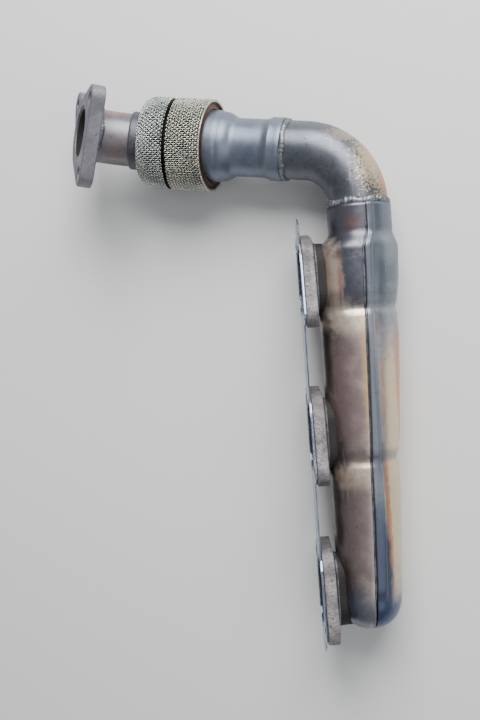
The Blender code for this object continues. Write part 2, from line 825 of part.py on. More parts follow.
def settled_turn(points, centre):
    """Turn a cloud of points until the hull face under its centre of mass lies level."""
    work = bmesh.new()
    for point in points:
        work.verts.new(point)
    bmesh.ops.convex_hull(work, input=work.verts)
    bmesh.ops.delete(work, geom=[v for v in work.verts if not v.link_faces], context="VERTS")
    bmesh.ops.recalc_face_normals(work, faces=work.faces)
    bmesh.ops.triangulate(work, faces=work.faces)
    real = [face for face in work.faces if face.calc_area() > 1e-8]
    hull = [([v.co.copy() for v in face.verts], face.normal.copy()) for face in real]
    work.free()
    down = Vector((0, 0, -1))
    turn = Matrix.Identity(3)
    for _ in range(40):
        ray = turn.inverted() @ down
        best = None
        for corners, normal in hull:
            slope = normal.dot(ray)
            if slope <= 0:
                continue
            reach = normal.dot(corners[0] - centre) / slope
            if best is None or reach < best[0]:
                best = (reach, normal)
        step = best[1].rotation_difference(ray).to_matrix()
        if best[1].dot(ray) > 1 - 1e-10:
            break
        turn = turn @ step
    return turn


def lay_down():
    """Rest the manifold on its own lowest points, with its box centred over the origin."""
    bpy.context.view_layer.update()
    depsgraph = bpy.context.evaluated_depsgraph_get()
    clouds = []
    weight = 0.0
    moment = np.zeros(3)
    for piece in manifold.objects:
        if piece.type != "MESH":
            continue
        mesh = bpy.data.meshes.new_from_object(piece.evaluated_get(depsgraph))
        mesh.transform(piece.matrix_world)
        mesh.calc_loop_triangles()
        spots = np.array([v.co for v in mesh.vertices])
        corners = spots[np.array([t.vertices for t in mesh.loop_triangles])]
        volumes = np.einsum("ij,ij->i", corners[:, 0], np.cross(corners[:, 1], corners[:, 2])) / 6
        weight += volumes.sum()
        moment += (corners.mean(axis=1) * 0.75 * volumes[:, None]).sum(axis=0)
        clouds.append(spots)
        bpy.data.meshes.remove(mesh)
    points = np.concatenate(clouds)
    centre = Vector(moment / weight)
    turn = settled_turn([Vector(p) for p in points], centre)
    turned_points = points @ np.array(turn).T
    low = turned_points.min(axis=0)
    high = turned_points.max(axis=0)
    shift = Vector((-(low[0] + high[0]) / 2, -(low[1] + high[1]) / 2, -low[2]))
    frame.matrix_world = Matrix.Translation(shift) @ turn.to_4x4()


for index, port_y in enumerate(port_ys, start=1):
    port_flange(index, port_y)
    port_collar(index, port_y)
    port_weld(index, port_y)
gasket()
port_side_shell()
outer_shell()
seam_weld("seam_weld_upper", 1)
seam_weld("seam_weld_lower", -1)
liners()
elbow()
inlet_pipe()
inlet_cap()
inlet_ring()
inlet_sleeve()
floating_sleeve()
bellows()
outlet_ring()
outlet_cap()
outlet_pipe()
outlet_flange()
lay_down()
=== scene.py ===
import json
import random
from math import asin, cos, pi, radians, sin

import bmesh
import bpy
from mathutils import Matrix, Vector, noise
from mathutils.geometry import convex_hull_2d


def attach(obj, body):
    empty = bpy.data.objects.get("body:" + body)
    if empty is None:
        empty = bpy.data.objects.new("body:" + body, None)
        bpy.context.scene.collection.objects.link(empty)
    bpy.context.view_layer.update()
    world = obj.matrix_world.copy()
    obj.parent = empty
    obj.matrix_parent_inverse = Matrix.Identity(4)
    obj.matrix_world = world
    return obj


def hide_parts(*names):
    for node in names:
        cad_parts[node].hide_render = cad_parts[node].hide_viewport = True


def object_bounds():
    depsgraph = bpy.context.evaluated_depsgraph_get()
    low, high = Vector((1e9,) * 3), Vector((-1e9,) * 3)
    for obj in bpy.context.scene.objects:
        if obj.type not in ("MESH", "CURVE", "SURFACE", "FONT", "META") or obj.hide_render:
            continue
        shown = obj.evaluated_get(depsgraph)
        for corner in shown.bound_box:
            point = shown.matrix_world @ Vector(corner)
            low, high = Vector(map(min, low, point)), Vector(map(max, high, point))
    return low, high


# Three port exhaust manifold in tinted steel, with its knitted flexible joint and its three ear outlet flange.
# The pieces are drawn with the port faces in the plane X = 0 and the row of ports along Y,
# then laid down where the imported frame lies.

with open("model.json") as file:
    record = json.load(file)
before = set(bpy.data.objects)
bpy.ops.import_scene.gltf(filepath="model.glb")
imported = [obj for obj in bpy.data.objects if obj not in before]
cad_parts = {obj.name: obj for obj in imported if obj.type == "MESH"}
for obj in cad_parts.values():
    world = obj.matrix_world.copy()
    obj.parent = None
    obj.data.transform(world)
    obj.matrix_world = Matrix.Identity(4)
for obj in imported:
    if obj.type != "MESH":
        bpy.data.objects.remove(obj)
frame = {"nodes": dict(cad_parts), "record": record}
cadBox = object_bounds()
print("frame loaded:", len(frame["nodes"]), "nodes")

mounts = {mount["name"]: mount for mount in frame["record"]["mounts"]}
portFace = {"ahead": 0.0013, "above": 0.0159}    # from the middle port's centre to its mount


def drawingPlace():
    x = -Vector(mounts["port_face_2"]["axis"]).normalized()
    row = Vector(mounts["port_face_1"]["pos_m"]) - Vector(mounts["port_face_3"]["pos_m"])
    y = (row - x * row.dot(x)).normalized()
    z = x.cross(y)
    start = Vector(mounts["port_face_2"]["pos_m"]) + x * portFace["ahead"] - z * portFace["above"]
    return Matrix.Translation(start) @ Matrix((x, y, z)).transposed().to_4x4()


lay = drawingPlace()
steady = random.Random(7)


# Places along the manifold, in metres.

gap = 0.0003
ports = {"pitch": 0.106, "width": 0.044, "height": 0.026, "flange": 0.008, "rim": 0.0052,
         "earAlong": 0.024, "earAcross": 0.018, "earRadius": 0.009, "studHole": 0.009,
         "collarWall": 0.0015, "weld": 0.0009}
shell = {"wall": 0.0015, "left": 0.0105, "widthAtMiddle": 0.0495, "taper": 0.0575, "halfHeight": 0.027,
         "endPastPort": 0.027, "endRadius": 0.021, "endShape": 2.3, "shoulderPastPort": 0.018,
         "shoulder": 0.012, "neck": 0.018, "neckX": 0.042, "neckRadius": 0.022,
         "seamOffset": 0.002, "seamUnderlap": 0.0055, "seamStep": 0.0018, "buttGap": 0.0014, "runIn": 0.010,
         "bandTop": 0.0055, "bandLow": 0.0095, "creaseDepth": 0.0013, "creaseWidth": 0.0045,
         "sagDepth": 0.0014, "sagWidth": 0.022, "ripple": 0.00022, "valleyPastPort": (0.022, 0.018)}
pipes = {"radius": 0.0202, "wall": 0.0015, "inNeck": 0.010, "bendRadius": 0.040, "azimuth": radians(10),
         "elevation": radians(-15), "weld": 0.0012, "socketStart": 0.0155, "socket": 0.009,
         "inlet": 0.0625, "bulgeRadius": 0.0250, "bulge": 0.022, "bulgeStep": 0.0008}
flex = {"elevation": radians(-18), "bend": radians(14), "start": 0.067, "radius": 0.0327, "wall": 0.0045,
        "inlet": 0.0285, "crease": 0.0025, "outlet": 0.024, "roundOff": 0.014,
        "capWall": 0.0008, "capDepth": 0.006, "capLip": 0.0310}
outlet = {"radius": 0.0188, "wall": 0.0015, "bend": radians(23), "bendLength": 0.033, "inCap": 0.010,
          "flange": 0.010, "back": 0.0012, "weld": 0.0014, "hub": 0.0260, "arm": 0.0170, "earRadius": 0.0095,
          "earCircle": 0.0335, "ears": (radians(-55), radians(-157), radians(43)), "studHole": 0.009}

portYs = (ports["pitch"], 0.0, -ports["pitch"])
collarWidth = ports["width"] + 2 * ports["collarWall"]
collarHeight = ports["height"] + 2 * ports["collarWall"]
shellLow = -ports["pitch"] - shell["endPastPort"]
shoulderY = ports["pitch"] + shell["shoulderPastPort"]
neckTop = shoulderY + shell["shoulder"] + shell["neck"]
valleys = (portYs[0] - shell["valleyPastPort"][0], portYs[1] - shell["valleyPastPort"][1])


def atPort(y, x):
    return Matrix(((0, 0, 1, x), (1, 0, 0, y), (0, 1, 0, 0), (0, 0, 0, 1)))


def facing(point, towards):
    z = Vector(towards).normalized()
    x = Vector((0, 0, 1)).cross(z).normalized()
    return Matrix.Translation(Vector(point)) @ Matrix((x, z.cross(x), z)).transposed().to_4x4()


def heading(azimuth, elevation):
    level = cos(elevation)
    return Vector((-cos(azimuth) * level, sin(azimuth) * level, sin(elevation)))


limbHeading = heading(pipes["azimuth"], pipes["elevation"])
row = Vector((0, 1, 0))
elbowAngle = row.angle(limbHeading)
elbowSide = (limbHeading - row * cos(elbowAngle)).normalized()
elbowStart = Vector((shell["neckX"], neckTop + 2 * (gap + pipes["weld"]), 0))


def onElbow(angle):
    return elbowStart + (row * sin(angle) + elbowSide * (1 - cos(angle))) * pipes["bendRadius"]


elbowEnd = onElbow(elbowAngle)
limb = facing(elbowEnd, limbHeading)


def arc(start, elevation, curvature, distance, steps=32):
    point = Vector(start)
    for i in range(steps):
        turn = elevation + curvature * distance * (i + 0.5) / steps
        point += heading(pipes["azimuth"], turn) * distance / steps
    return facing(point, heading(pipes["azimuth"], elevation + curvature * distance))


flexLength = flex["inlet"] + flex["crease"] + flex["outlet"]
flexCurvature = flex["bend"] / flexLength


def onFlex(distance):
    return arc(elbowEnd + limbHeading * flex["start"], flex["elevation"], flexCurvature, distance)


outletStart = onFlex(flexLength).translation


def onOutlet(distance):
    turn = outlet["bend"] / outlet["bendLength"]
    return arc(outletStart, flex["elevation"] + flex["bend"], turn, distance)


# Tools that shape meshes.

mergeWithin = {"turned": 0.000005, "cable": 0.000002, "shell": 0.00002}
cornerShare = 0.45      # the most of a side that one rounded corner takes
boldCorner = radians(60)

def smooth(value):
    value = min(max(value, 0), 1)
    return value * value * (3 - 2 * value)


def eased(points, reach, steps=3):
    # rounds the corners between the ends of a line of (radius, height) points
    out = [points[0]]
    for before, here, after in zip(points, points[1:], points[2:]):
        a, b, c = Vector(before), Vector(here), Vector(after)
        start = b + (a - b).normalized() * min(reach, (a - b).length * cornerShare)
        end = b + (c - b).normalized() * min(reach, (c - b).length * cornerShare)
        for i in range(steps + 1):
            t = i / steps
            out.append(tuple(start * (1 - t) ** 2 + b * 2 * t * (1 - t) + end * t * t))
    return out + [points[-1]]


def spun(profile, sides=72):
    # turns a closed line of (radius, height) points about local Z
    work = bmesh.new()
    corners = [work.verts.new((radius, 0, height)) for radius, height in profile]
    edges = [work.edges.new(pair) for pair in zip(corners, corners[1:] + corners[:1])]
    bmesh.ops.spin(work, geom=corners + edges, cent=(0, 0, 0), axis=(0, 0, 1), angle=2 * pi,
                   steps=sides, use_merge=True)
    bmesh.ops.remove_doubles(work, verts=work.verts, dist=mergeWithin["turned"])
    bmesh.ops.recalc_face_normals(work, faces=work.faces)
    return work


def sootInside(made, wall):
    # gives a sheet its thickness, with soot on the side that faces inwards
    made.data.materials.append(finishes["soot"])
    thick = made.modifiers.new("wall", "SOLIDIFY")
    thick.thickness = wall
    thick.offset = -1
    thick.use_even_offset = False
    thick.material_offset = 1
    thick.material_offset_rim = 0
    return made


def walled(outside, wall):
    down = list(outside)
    return down + [(radius - wall, height) for radius, height in reversed(down)]


def placed(work, place):
    bmesh.ops.transform(work, matrix=place, verts=work.verts)
    return work


def bentAlong(work, placeAt):
    # carries a straight piece onto a curved centre line
    places = {}
    for v in work.verts:
        height = round(v.co.z, 5)
        if height not in places:
            places[height] = placeAt(height)
        v.co = places[height] @ Vector((v.co.x, v.co.y, 0))
    return work


def cableMesh(lines, thickness, sides, closed, swell=None, capped=True):
    # round bars along lists of points; swell gives each point's share of the thickness
    curve = bpy.data.curves.new("lines", "CURVE")
    curve.dimensions = "3D"
    curve.bevel_depth = thickness
    curve.bevel_resolution = max(sides // 2 - 2, 0)
    curve.use_fill_caps = capped and not closed
    for number, points in enumerate(lines):
        line = curve.splines.new("POLY")
        line.points.add(len(points) - 1)
        for i, (spot, point) in enumerate(zip(line.points, points)):
            spot.co = (*point, 1)
            spot.radius = swell[number][i] if swell else 1.0
        line.use_cyclic_u = closed
    drawn = added("lines", curve)
    seen = drawn.evaluated_get(bpy.context.evaluated_depsgraph_get())
    mesh = bpy.data.meshes.new_from_object(seen)
    bpy.data.objects.remove(drawn)
    bpy.data.curves.remove(curve)
    work = bmesh.new()
    work.from_mesh(mesh)
    bpy.data.meshes.remove(mesh)
    bmesh.ops.remove_doubles(work, verts=work.verts, dist=mergeWithin["cable"])
    bmesh.ops.recalc_face_normals(work, faces=work.faces)
    return work


def circle(centre, radius, count=40):
    return [(centre[0] + radius * cos(2 * pi * i / count), centre[1] + radius * sin(2 * pi * i / count))
            for i in range(count)]


def around(*circles):
    points = [Vector(point) for centre, radius in circles for point in circle(centre, radius)]
    return [tuple(points[i]) for i in convex_hull_2d(points)]


def oval(width, height):
    reach = (width - height) / 2
    return around(((-reach, 0), height / 2), ((reach, 0), height / 2))


def boltPlate(outline, holes, thickness, rounding, steps=3):
    # a flat plate with round edges, centred on local Z = 0
    work = bmesh.new()
    for line in [outline] + holes:
        spots = [work.verts.new((x, y, -thickness / 2)) for x, y in line]
        for pair in zip(spots, spots[1:] + spots[:1]):
            work.edges.new(pair)
    bmesh.ops.triangle_fill(work, use_beauty=True, use_dissolve=False, edges=work.edges[:])
    raised = bmesh.ops.extrude_face_region(work, geom=work.faces[:])["geom"]
    raised = [v for v in raised if isinstance(v, bmesh.types.BMVert)]
    bmesh.ops.translate(work, vec=(0, 0, thickness), verts=raised)
    bmesh.ops.recalc_face_normals(work, faces=work.faces)
    corners = [e for e in work.edges if e.is_manifold and e.calc_face_angle() > boldCorner]
    bmesh.ops.bevel(work, geom=corners, offset=rounding, segments=steps, profile=0.5, affect="EDGES",
                    material=-1, clamp_overlap=True)
    return work


def added(name, data):
    made = bpy.data.objects.new(name, data)
    bpy.context.scene.collection.objects.link(made)
    return made


def meshFrom(work, name):
    mesh = bpy.data.meshes.new(name)
    work.to_mesh(mesh)
    work.free()
    return mesh


def piece(work, name, body, finish, slot, *nodes, sharp=40):
    # lays a finished shape down, names it and sends it off with its body
    mesh = meshFrom(placed(work, lay), name)
    mesh.materials.append(finishes[finish])
    mesh.shade_smooth()
    mesh.set_sharp_from_angle(angle=radians(sharp))
    made = added(name, mesh)
    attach(made, body)
    if nodes:
        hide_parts(*nodes)
    return made


# Finishes.

def paint(red, green, blue):
    share = [c / 255 for c in (red, green, blue)]
    return tuple(c / 12.92 if c <= 0.04045 else ((c + 0.055) / 1.055) ** 2.4 for c in share) + (1.0,)


def wire(tree, source, socket):
    tree.links.new(source, socket)


def newGroup(name, inputs, outputs):
    group = bpy.data.node_groups.new(name, "ShaderNodeTree")
    for label, kind, value in inputs:
        socket = group.interface.new_socket(label, in_out="INPUT", socket_type="NodeSocket" + kind)
        if value is not None:
            socket.default_value = value
    for label, kind in outputs:
        group.interface.new_socket(label, in_out="OUTPUT", socket_type="NodeSocket" + kind)
    return group, group.nodes.new("NodeGroupInput").outputs, group.nodes.new("NodeGroupOutput").inputs


def noiseNode(tree, vector, scale, detail, rough):
    made = tree.nodes.new("ShaderNodeTexNoise")
    made.inputs["Detail"].default_value = detail
    made.inputs["Roughness"].default_value = rough
    if isinstance(scale, (int, float)):
        made.inputs["Scale"].default_value = scale
    else:
        wire(tree, scale, made.inputs["Scale"])
    wire(tree, vector, made.inputs["Vector"])
    return made


def mathNode(tree, operation, a, b):
    made = tree.nodes.new("ShaderNodeMath")
    made.operation = operation
    for socket, value in zip(made.inputs, (a, b)):
        if isinstance(value, (int, float)):
            socket.default_value = value
        else:
            wire(tree, value, socket)
    return made.outputs[0]


def remap(tree, value, low, high, toLow=0.0, toHigh=1.0):
    made = tree.nodes.new("ShaderNodeMapRange")
    made.interpolation_type = "SMOOTHSTEP"
    for label, number in (("From Min", low), ("From Max", high), ("To Min", toLow), ("To Max", toHigh)):
        if isinstance(number, (int, float)):
            made.inputs[label].default_value = number
        else:
            wire(tree, number, made.inputs[label])
    wire(tree, value, made.inputs["Value"])
    return made.outputs["Result"]


def vectorMath(tree, operation, a, b):
    made = tree.nodes.new("ShaderNodeVectorMath")
    made.operation = operation
    for socket, value in zip(made.inputs, (a, b)):
        if isinstance(value, (tuple, list)):
            socket.default_value = value
        else:
            wire(tree, value, socket)
    return made


tear = {"detail": 5.0, "rough": 0.65, "depth": 4.0}


def tintAndLightPatchGroup():
    # a soft, ragged oval of colour, used both for heat tint and for painted shade and painted highlight: 1 inside,
    # 0 outside
    group, given, out = newGroup("tintAndLightPatch", [
        ("Vector", "Vector", None), ("Middle", "Vector", None),
        ("Reach", "Vector", (1.0, 1.0, 1.0)), ("Soft", "Float", 0.4),
        ("Ragged", "Float", 0.4), ("Scale", "Float", 90.0)],
        [("Mask", "Float")])
    away = vectorMath(group, "SUBTRACT", given["Vector"], given["Middle"]).outputs[0]
    share = vectorMath(group, "DIVIDE", away, given["Reach"]).outputs[0]
    distance = vectorMath(group, "LENGTH", share, (0, 0, 0)).outputs["Value"]
    cloud = noiseNode(group, given["Vector"], given["Scale"], tear["detail"], tear["rough"]).outputs[0]
    swing = mathNode(group, "MULTIPLY", mathNode(group, "SUBTRACT", cloud, 0.5), given["Ragged"])
    torn = mathNode(group, "ADD", distance, mathNode(group, "MULTIPLY", swing, tear["depth"]))
    low = mathNode(group, "SUBTRACT", 1.0, given["Soft"])
    high = mathNode(group, "ADD", 1.0, given["Soft"])
    wire(group, mathNode(group, "SUBTRACT", 1.0, remap(group, torn, low, high)), out["Mask"])
    return group


# each noise is its scale, detail and roughness
skin = {"clouds": (70.0, 6.0, 0.62), "grain": (900.0, 3.0, 0.7), "specks": (420.0, 2.0, 0.5),
        "cloudRange": (0.32, 0.68), "speckRange": (0.62, 0.74), "grainShare": 0.45, "cloudShare": 0.55}


def scaleGrainGroup():
    # oxide skin: broad clouds, fine grain and dark specks
    group, given, out = newGroup("scaleGrain", [
        ("Vector", "Vector", None), ("Scale", "Float", 1.0)],
        [("Clouds", "Float"), ("Specks", "Float"), ("Height", "Float")])
    sized = vectorMath(group, "SCALE", given["Vector"], (0, 0, 0))
    wire(group, given["Scale"], sized.inputs["Scale"])
    clouds, grain, specks = (noiseNode(group, sized.outputs[0], *skin[label]).outputs[0]
                             for label in ("clouds", "grain", "specks"))
    wire(group, remap(group, clouds, *skin["cloudRange"]), out["Clouds"])
    wire(group, remap(group, specks, *skin["speckRange"]), out["Specks"])
    fine = mathNode(group, "MULTIPLY", grain, skin["grainShare"])
    broad = mathNode(group, "MULTIPLY", clouds, skin["cloudShare"])
    wire(group, mathNode(group, "ADD", fine, broad), out["Height"])
    return group


pitting = {"lumps": (260.0, 5.0, 0.7), "edge": (0.10, 0.34), "gate": (0.75, 0.78), "widen": 0.3, "depth": 0.8}


def pitsGroup():
    # forging pits and small nicks
    group, given, out = newGroup("forgePits", [
        ("Vector", "Vector", None), ("Scale", "Float", 400.0), ("Amount", "Float", 0.5)],
        [("Mask", "Float"), ("Height", "Float")])
    cells = group.nodes.new("ShaderNodeTexVoronoi")
    wire(group, given["Scale"], cells.inputs["Scale"])
    wire(group, given["Vector"], cells.inputs["Vector"])
    lumps = noiseNode(group, given["Vector"], *pitting["lumps"]).outputs[0]
    holes = remap(group, cells.outputs["Distance"], *pitting["edge"], 1.0, 0.0)
    wider = mathNode(group, "MULTIPLY", given["Amount"], pitting["widen"])
    gate = remap(group, lumps, mathNode(group, "SUBTRACT", pitting["gate"][0], wider), pitting["gate"][1])
    pits = mathNode(group, "MULTIPLY", holes, gate)
    wire(group, pits, out["Mask"])
    sunk = mathNode(group, "MULTIPLY", pits, pitting["depth"])
    wire(group, mathNode(group, "SUBTRACT", lumps, sunk), out["Height"])
    return group


scratching = {"along": (1.0, 0.05, 1.0), "lines": (3.0, 0.8), "lineRange": (0.60, 0.70),
              "where": (45.0, 2.0, 0.5), "whereRange": (0.45, 0.6)}


def scratchGroup():
    # long thin marks along local Y
    group, given, out = newGroup("scratchLines", [
        ("Vector", "Vector", None), ("Scale", "Float", 260.0), ("Amount", "Float", 0.4)],
        [("Mask", "Float")])
    thin = vectorMath(group, "MULTIPLY", given["Vector"], scratching["along"]).outputs[0]
    lines = noiseNode(group, thin, given["Scale"], *scratching["lines"]).outputs[0]
    where = noiseNode(group, given["Vector"], *scratching["where"]).outputs[0]
    mask = mathNode(group, "MULTIPLY", remap(group, lines, *scratching["lineRange"]),
                    remap(group, where, *scratching["whereRange"]))
    wire(group, mathNode(group, "MULTIPLY", mask, given["Amount"]), out["Mask"])
    return group


effects = {"tintAndLightPatch": tintAndLightPatchGroup(), "scaleGrain": scaleGrainGroup(), "forgePits": pitsGroup(),
           "scratchLines": scratchGroup()}


def effect(tree, name, vector, **values):
    made = tree.nodes.new("ShaderNodeGroup")
    made.node_tree = effects[name]
    wire(tree, vector, made.inputs["Vector"])
    for label, value in values.items():
        made.inputs[label.capitalize()].default_value = value
    return made.outputs


def mixColour(tree, share, a, b, amount=1.0):
    made = tree.nodes.new("ShaderNodeMix")
    made.data_type = "RGBA"
    if amount != 1.0:
        share = mathNode(tree, "MULTIPLY", share, amount)
    wire(tree, share, made.inputs["Factor"])
    for label, value in (("A", a), ("B", b)):
        socket = [s for s in made.inputs if s.name == label and s.type == "RGBA"][0]
        if isinstance(value, tuple):
            socket.default_value = value
        else:
            wire(tree, value, socket)
    return [s for s in made.outputs if s.type == "RGBA"][0]


# what a look has unless it says otherwise
usualLook = {"grainScale": 1.0, "tints": [], "specks": (60, 52, 48), "speckAmount": 0.35,
             "scratches": 0.3, "scratchScale": 300.0, "scratchColour": (190, 184, 178),
             "pits": 0.3, "pitScale": 500.0, "pitColour": (45, 40, 38), "pitAmount": 0.75,
             "rough": (0.34, 0.52), "speckRough": 0.8, "roughest": 1.6, "metal": 0.8,
             "grainBump": 0.5, "lumps": 0.3, "bump": 0.25, "bumpDepth": 0.0006}


def tintedSteel(name, place, own):
    # a heated steel: base colour, clouds, then ragged patches of heat tint, painted shade and painted highlight,
    # with grain, specks, scratches and pits on top
    look = {**usualLook, **own}
    made = bpy.data.materials.new(name)
    made.use_nodes = True
    tree = made.node_tree
    shader = tree.nodes["Principled BSDF"]
    where = tree.nodes.new("ShaderNodeTexCoord")
    mapping = tree.nodes.new("ShaderNodeMapping")
    back = (lay @ place).inverted()
    mapping.inputs["Location"].default_value = back.translation
    mapping.inputs["Rotation"].default_value = back.to_euler()
    wire(tree, where.outputs["Object"], mapping.inputs["Vector"])
    spot = mapping.outputs["Vector"]
    grain = effect(tree, "scaleGrain", spot, scale=look["grainScale"])
    colour = mixColour(tree, grain["Clouds"], paint(*look["base"]), paint(*look["clouds"]))
    for patch in look["tints"]:
        mask = effect(tree, "tintAndLightPatch", spot, middle=patch["at"], reach=patch["reach"], soft=patch["soft"],
                      ragged=patch["ragged"], scale=patch["scale"])["Mask"]
        colour = mixColour(tree, mask, colour, paint(*patch["colour"]), amount=patch["amount"])
    speckled = mixColour(tree, grain["Specks"], colour, paint(*look["specks"]), amount=look["speckAmount"])
    marks = effect(tree, "scratchLines", spot, scale=look["scratchScale"], amount=look["scratches"])
    scratched = mixColour(tree, marks["Mask"], speckled, paint(*look["scratchColour"]))
    pits = effect(tree, "forgePits", spot, scale=look["pitScale"], amount=look["pits"])
    pitted = mixColour(tree, pits["Mask"], scratched, paint(*look["pitColour"]), amount=look["pitAmount"])
    wire(tree, pitted, shader.inputs["Base Color"])
    dull = mathNode(tree, "MULTIPLY", grain["Specks"], look["speckRough"])
    shine = mathNode(tree, "ADD", grain["Clouds"], dull)
    wire(tree, remap(tree, shine, 0.0, look["roughest"], *look["rough"]), shader.inputs["Roughness"])
    shader.inputs["Metallic"].default_value = look["metal"]
    height = mathNode(tree, "ADD", mathNode(tree, "MULTIPLY", grain["Height"], look["grainBump"]),
                      mathNode(tree, "MULTIPLY", pits["Height"], look["lumps"]))
    bump = tree.nodes.new("ShaderNodeBump")
    bump.inputs["Strength"].default_value = look["bump"]
    bump.inputs["Distance"].default_value = look["bumpDepth"]
    wire(tree, height, bump.inputs["Height"])
    wire(tree, bump.outputs["Normal"], shader.inputs["Normal"])
    return made


# one colour patch, for heat tint and also for painted shade and painted highlight
def tint(at, reach, colour, amount=0.8, soft=0.4, ragged=0.35, scale=90.0):
    return dict(at=at, reach=reach, colour=colour, amount=amount, soft=soft, ragged=ragged, scale=scale)


asDrawn = Matrix.Identity(4)
far = 1.0      # a reach long enough to cover the whole piece

portShellLook = dict(
    base=(186, 172, 166), clouds=(204, 192, 182), rough=(0.30, 0.46), scratches=0.45,
    speckAmount=0.3, bump=0.14, metal=0.85,
    tints=[
        # painted shade: the side of the shell towards the cylinder head is darkened along its whole length
        tint((0.010, 0.0, 0.0), (0.015, far, far), (70, 62, 62), 0.85, soft=0.55, ragged=0.2),
        # painted highlight: bright cream just below the upper valley, where the next chamber's top faces the light
        tint((0.030, 0.079, 0.02), (0.018, 0.012, far), (238, 224, 204), 0.9, ragged=0.5),
        tint((0.025, 0.030, 0.02), (0.012, 0.040, far), (168, 142, 140), 0.6, ragged=0.5),
        tint((0.0362, 0.040, 0.02), (0.0028, 0.045, far), (222, 184, 138), 0.7, ragged=0.7, scale=220.0),
        # painted highlight: bright cream just below the lower valley, where the chamber's top faces the light
        tint((0.030, -0.027, 0.02), (0.016, 0.010, far), (236, 214, 192), 0.85, ragged=0.5),
        tint((0.027, -0.060, 0.02), (0.014, 0.034, far), (146, 126, 124), 0.65, ragged=0.5),
        tint((0.036, -0.070, 0.02), (0.006, 0.030, far), (170, 156, 158), 0.6, ragged=0.5),
        tint((0.03, 0.156, 0.0), (far, 0.040, far), (92, 92, 104), 0.94, soft=0.12, ragged=0.1),
        tint((0.033, 0.104, 0.01), (0.0120, 0.0195, far), (82, 88, 102), 0.92, soft=0.25, ragged=0.3),
        tint((0.017, 0.105, 0.02), (0.0085, 0.023, far), (226, 204, 184), 0.9, ragged=0.5),
        tint((0.0236, 0.100, 0.02), (0.0014, 0.016, far), (196, 118, 112), 0.55, ragged=0.7, scale=240.0),
        tint((0.034, 0.141, 0.02), (0.005, 0.0045, far), (146, 104, 80), 0.35, soft=0.8, ragged=0.6),
        # painted shade: darker bands just above the two valleys, where the creases turn away from the light
        tint((0.03, valleys[0] + 0.006, 0.0), (far, 0.006, far), (84, 76, 84), 0.5, soft=0.6, ragged=0.5),
        tint((0.03, valleys[1] + 0.003, 0.0), (far, 0.004, far), (92, 80, 84), 0.45, soft=0.6, ragged=0.5),
        tint((0.03, -0.122, 0.0), (far, 0.016, far), (92, 102, 124), 0.7, soft=0.5),
    ])
outerShellLook = dict(
    base=(140, 144, 152), clouds=(158, 160, 164), rough=(0.32, 0.48),
    speckAmount=0.25, bump=0.14, metal=0.85,
    tints=[
        tint((0.054, 0.016, 0.0), (0.0075, 0.046, far), (226, 204, 168)),
        tint((0.060, 0.028, 0.0), (0.0030, 0.044, far), (198, 132, 104), 0.75, ragged=0.4),
        tint((0.0465, 0.024, 0.0), (0.0022, 0.036, far), (186, 140, 124), 0.45, ragged=0.7),
        tint((0.052, -0.060, 0.0), (0.0080, 0.050, far), (214, 196, 164)),
        tint((0.0455, -0.060, 0.0), (0.0016, 0.046, far), (196, 118, 76), 0.7, ragged=0.6, scale=140.0),
        tint((0.037, -0.088, 0.0), (0.0085, 0.048, far), (62, 72, 94), 0.9, soft=0.25, ragged=0.2),
        tint((0.0395, 0.010, 0.0), (0.0045, 0.070, far), (96, 104, 118), 0.7, ragged=0.2),
        tint((0.05, 0.156, 0.0), (far, 0.062, far), (104, 112, 124), 0.9, soft=0.12, ragged=0.1),
        # painted highlight: a lighter patch on the shoulder, which faces the light
        tint((0.056, 0.124, 0.0), (0.007, 0.010, far), (154, 162, 168), 0.5, soft=0.6),
        # painted shade: darker bands just above the two valleys, where the creases turn away from the light
        tint((0.05, valleys[0] + 0.006, 0.0), (far, 0.006, far), (70, 78, 92), 0.5, soft=0.6, ragged=0.4),
        tint((0.05, valleys[1] + 0.003, 0.0), (far, 0.004, far), (80, 80, 90), 0.45, soft=0.6, ragged=0.4),
        tint((0.04, -0.124, 0.0), (far, 0.013, far), (64, 78, 104), 0.85),
    ])
flangeLook = dict(
    base=(150, 146, 148), clouds=(112, 106, 106), specks=(58, 48, 42), rough=(0.50, 0.72), metal=0.6,
    speckAmount=0.85, pits=1.0, pitScale=900.0, lumps=1.2, bump=0.8, bumpDepth=0.0012,
    grainScale=1.5, scratches=0.1)
outletFlangeLook = dict(
    base=(136, 134, 140), clouds=(112, 112, 118), specks=(88, 74, 62), rough=(0.48, 0.68), metal=0.65,
    speckAmount=0.5, pits=0.9, pitScale=700.0, lumps=0.9, bump=0.55, bumpDepth=0.0010,
    # painted shade: the flange's outer face is darkened to a purple grey, with a painted blue reflection
    tints=[tint((0.0, 0.0, 0.0125), (far, far, 0.0014), (92, 78, 108), 0.7, soft=0.2, ragged=0.15),
           tint((0.022, 0.010, 0.006), (0.016, 0.010, 0.008), (120, 132, 124), 0.5)])
weldLook = dict(
    base=(92, 96, 104), clouds=(140, 142, 146), specks=(40, 36, 34), rough=(0.35, 0.6),
    speckAmount=0.8, pits=0.8, pitScale=900.0, bump=0.5, lumps=0.8, grainScale=1.6)
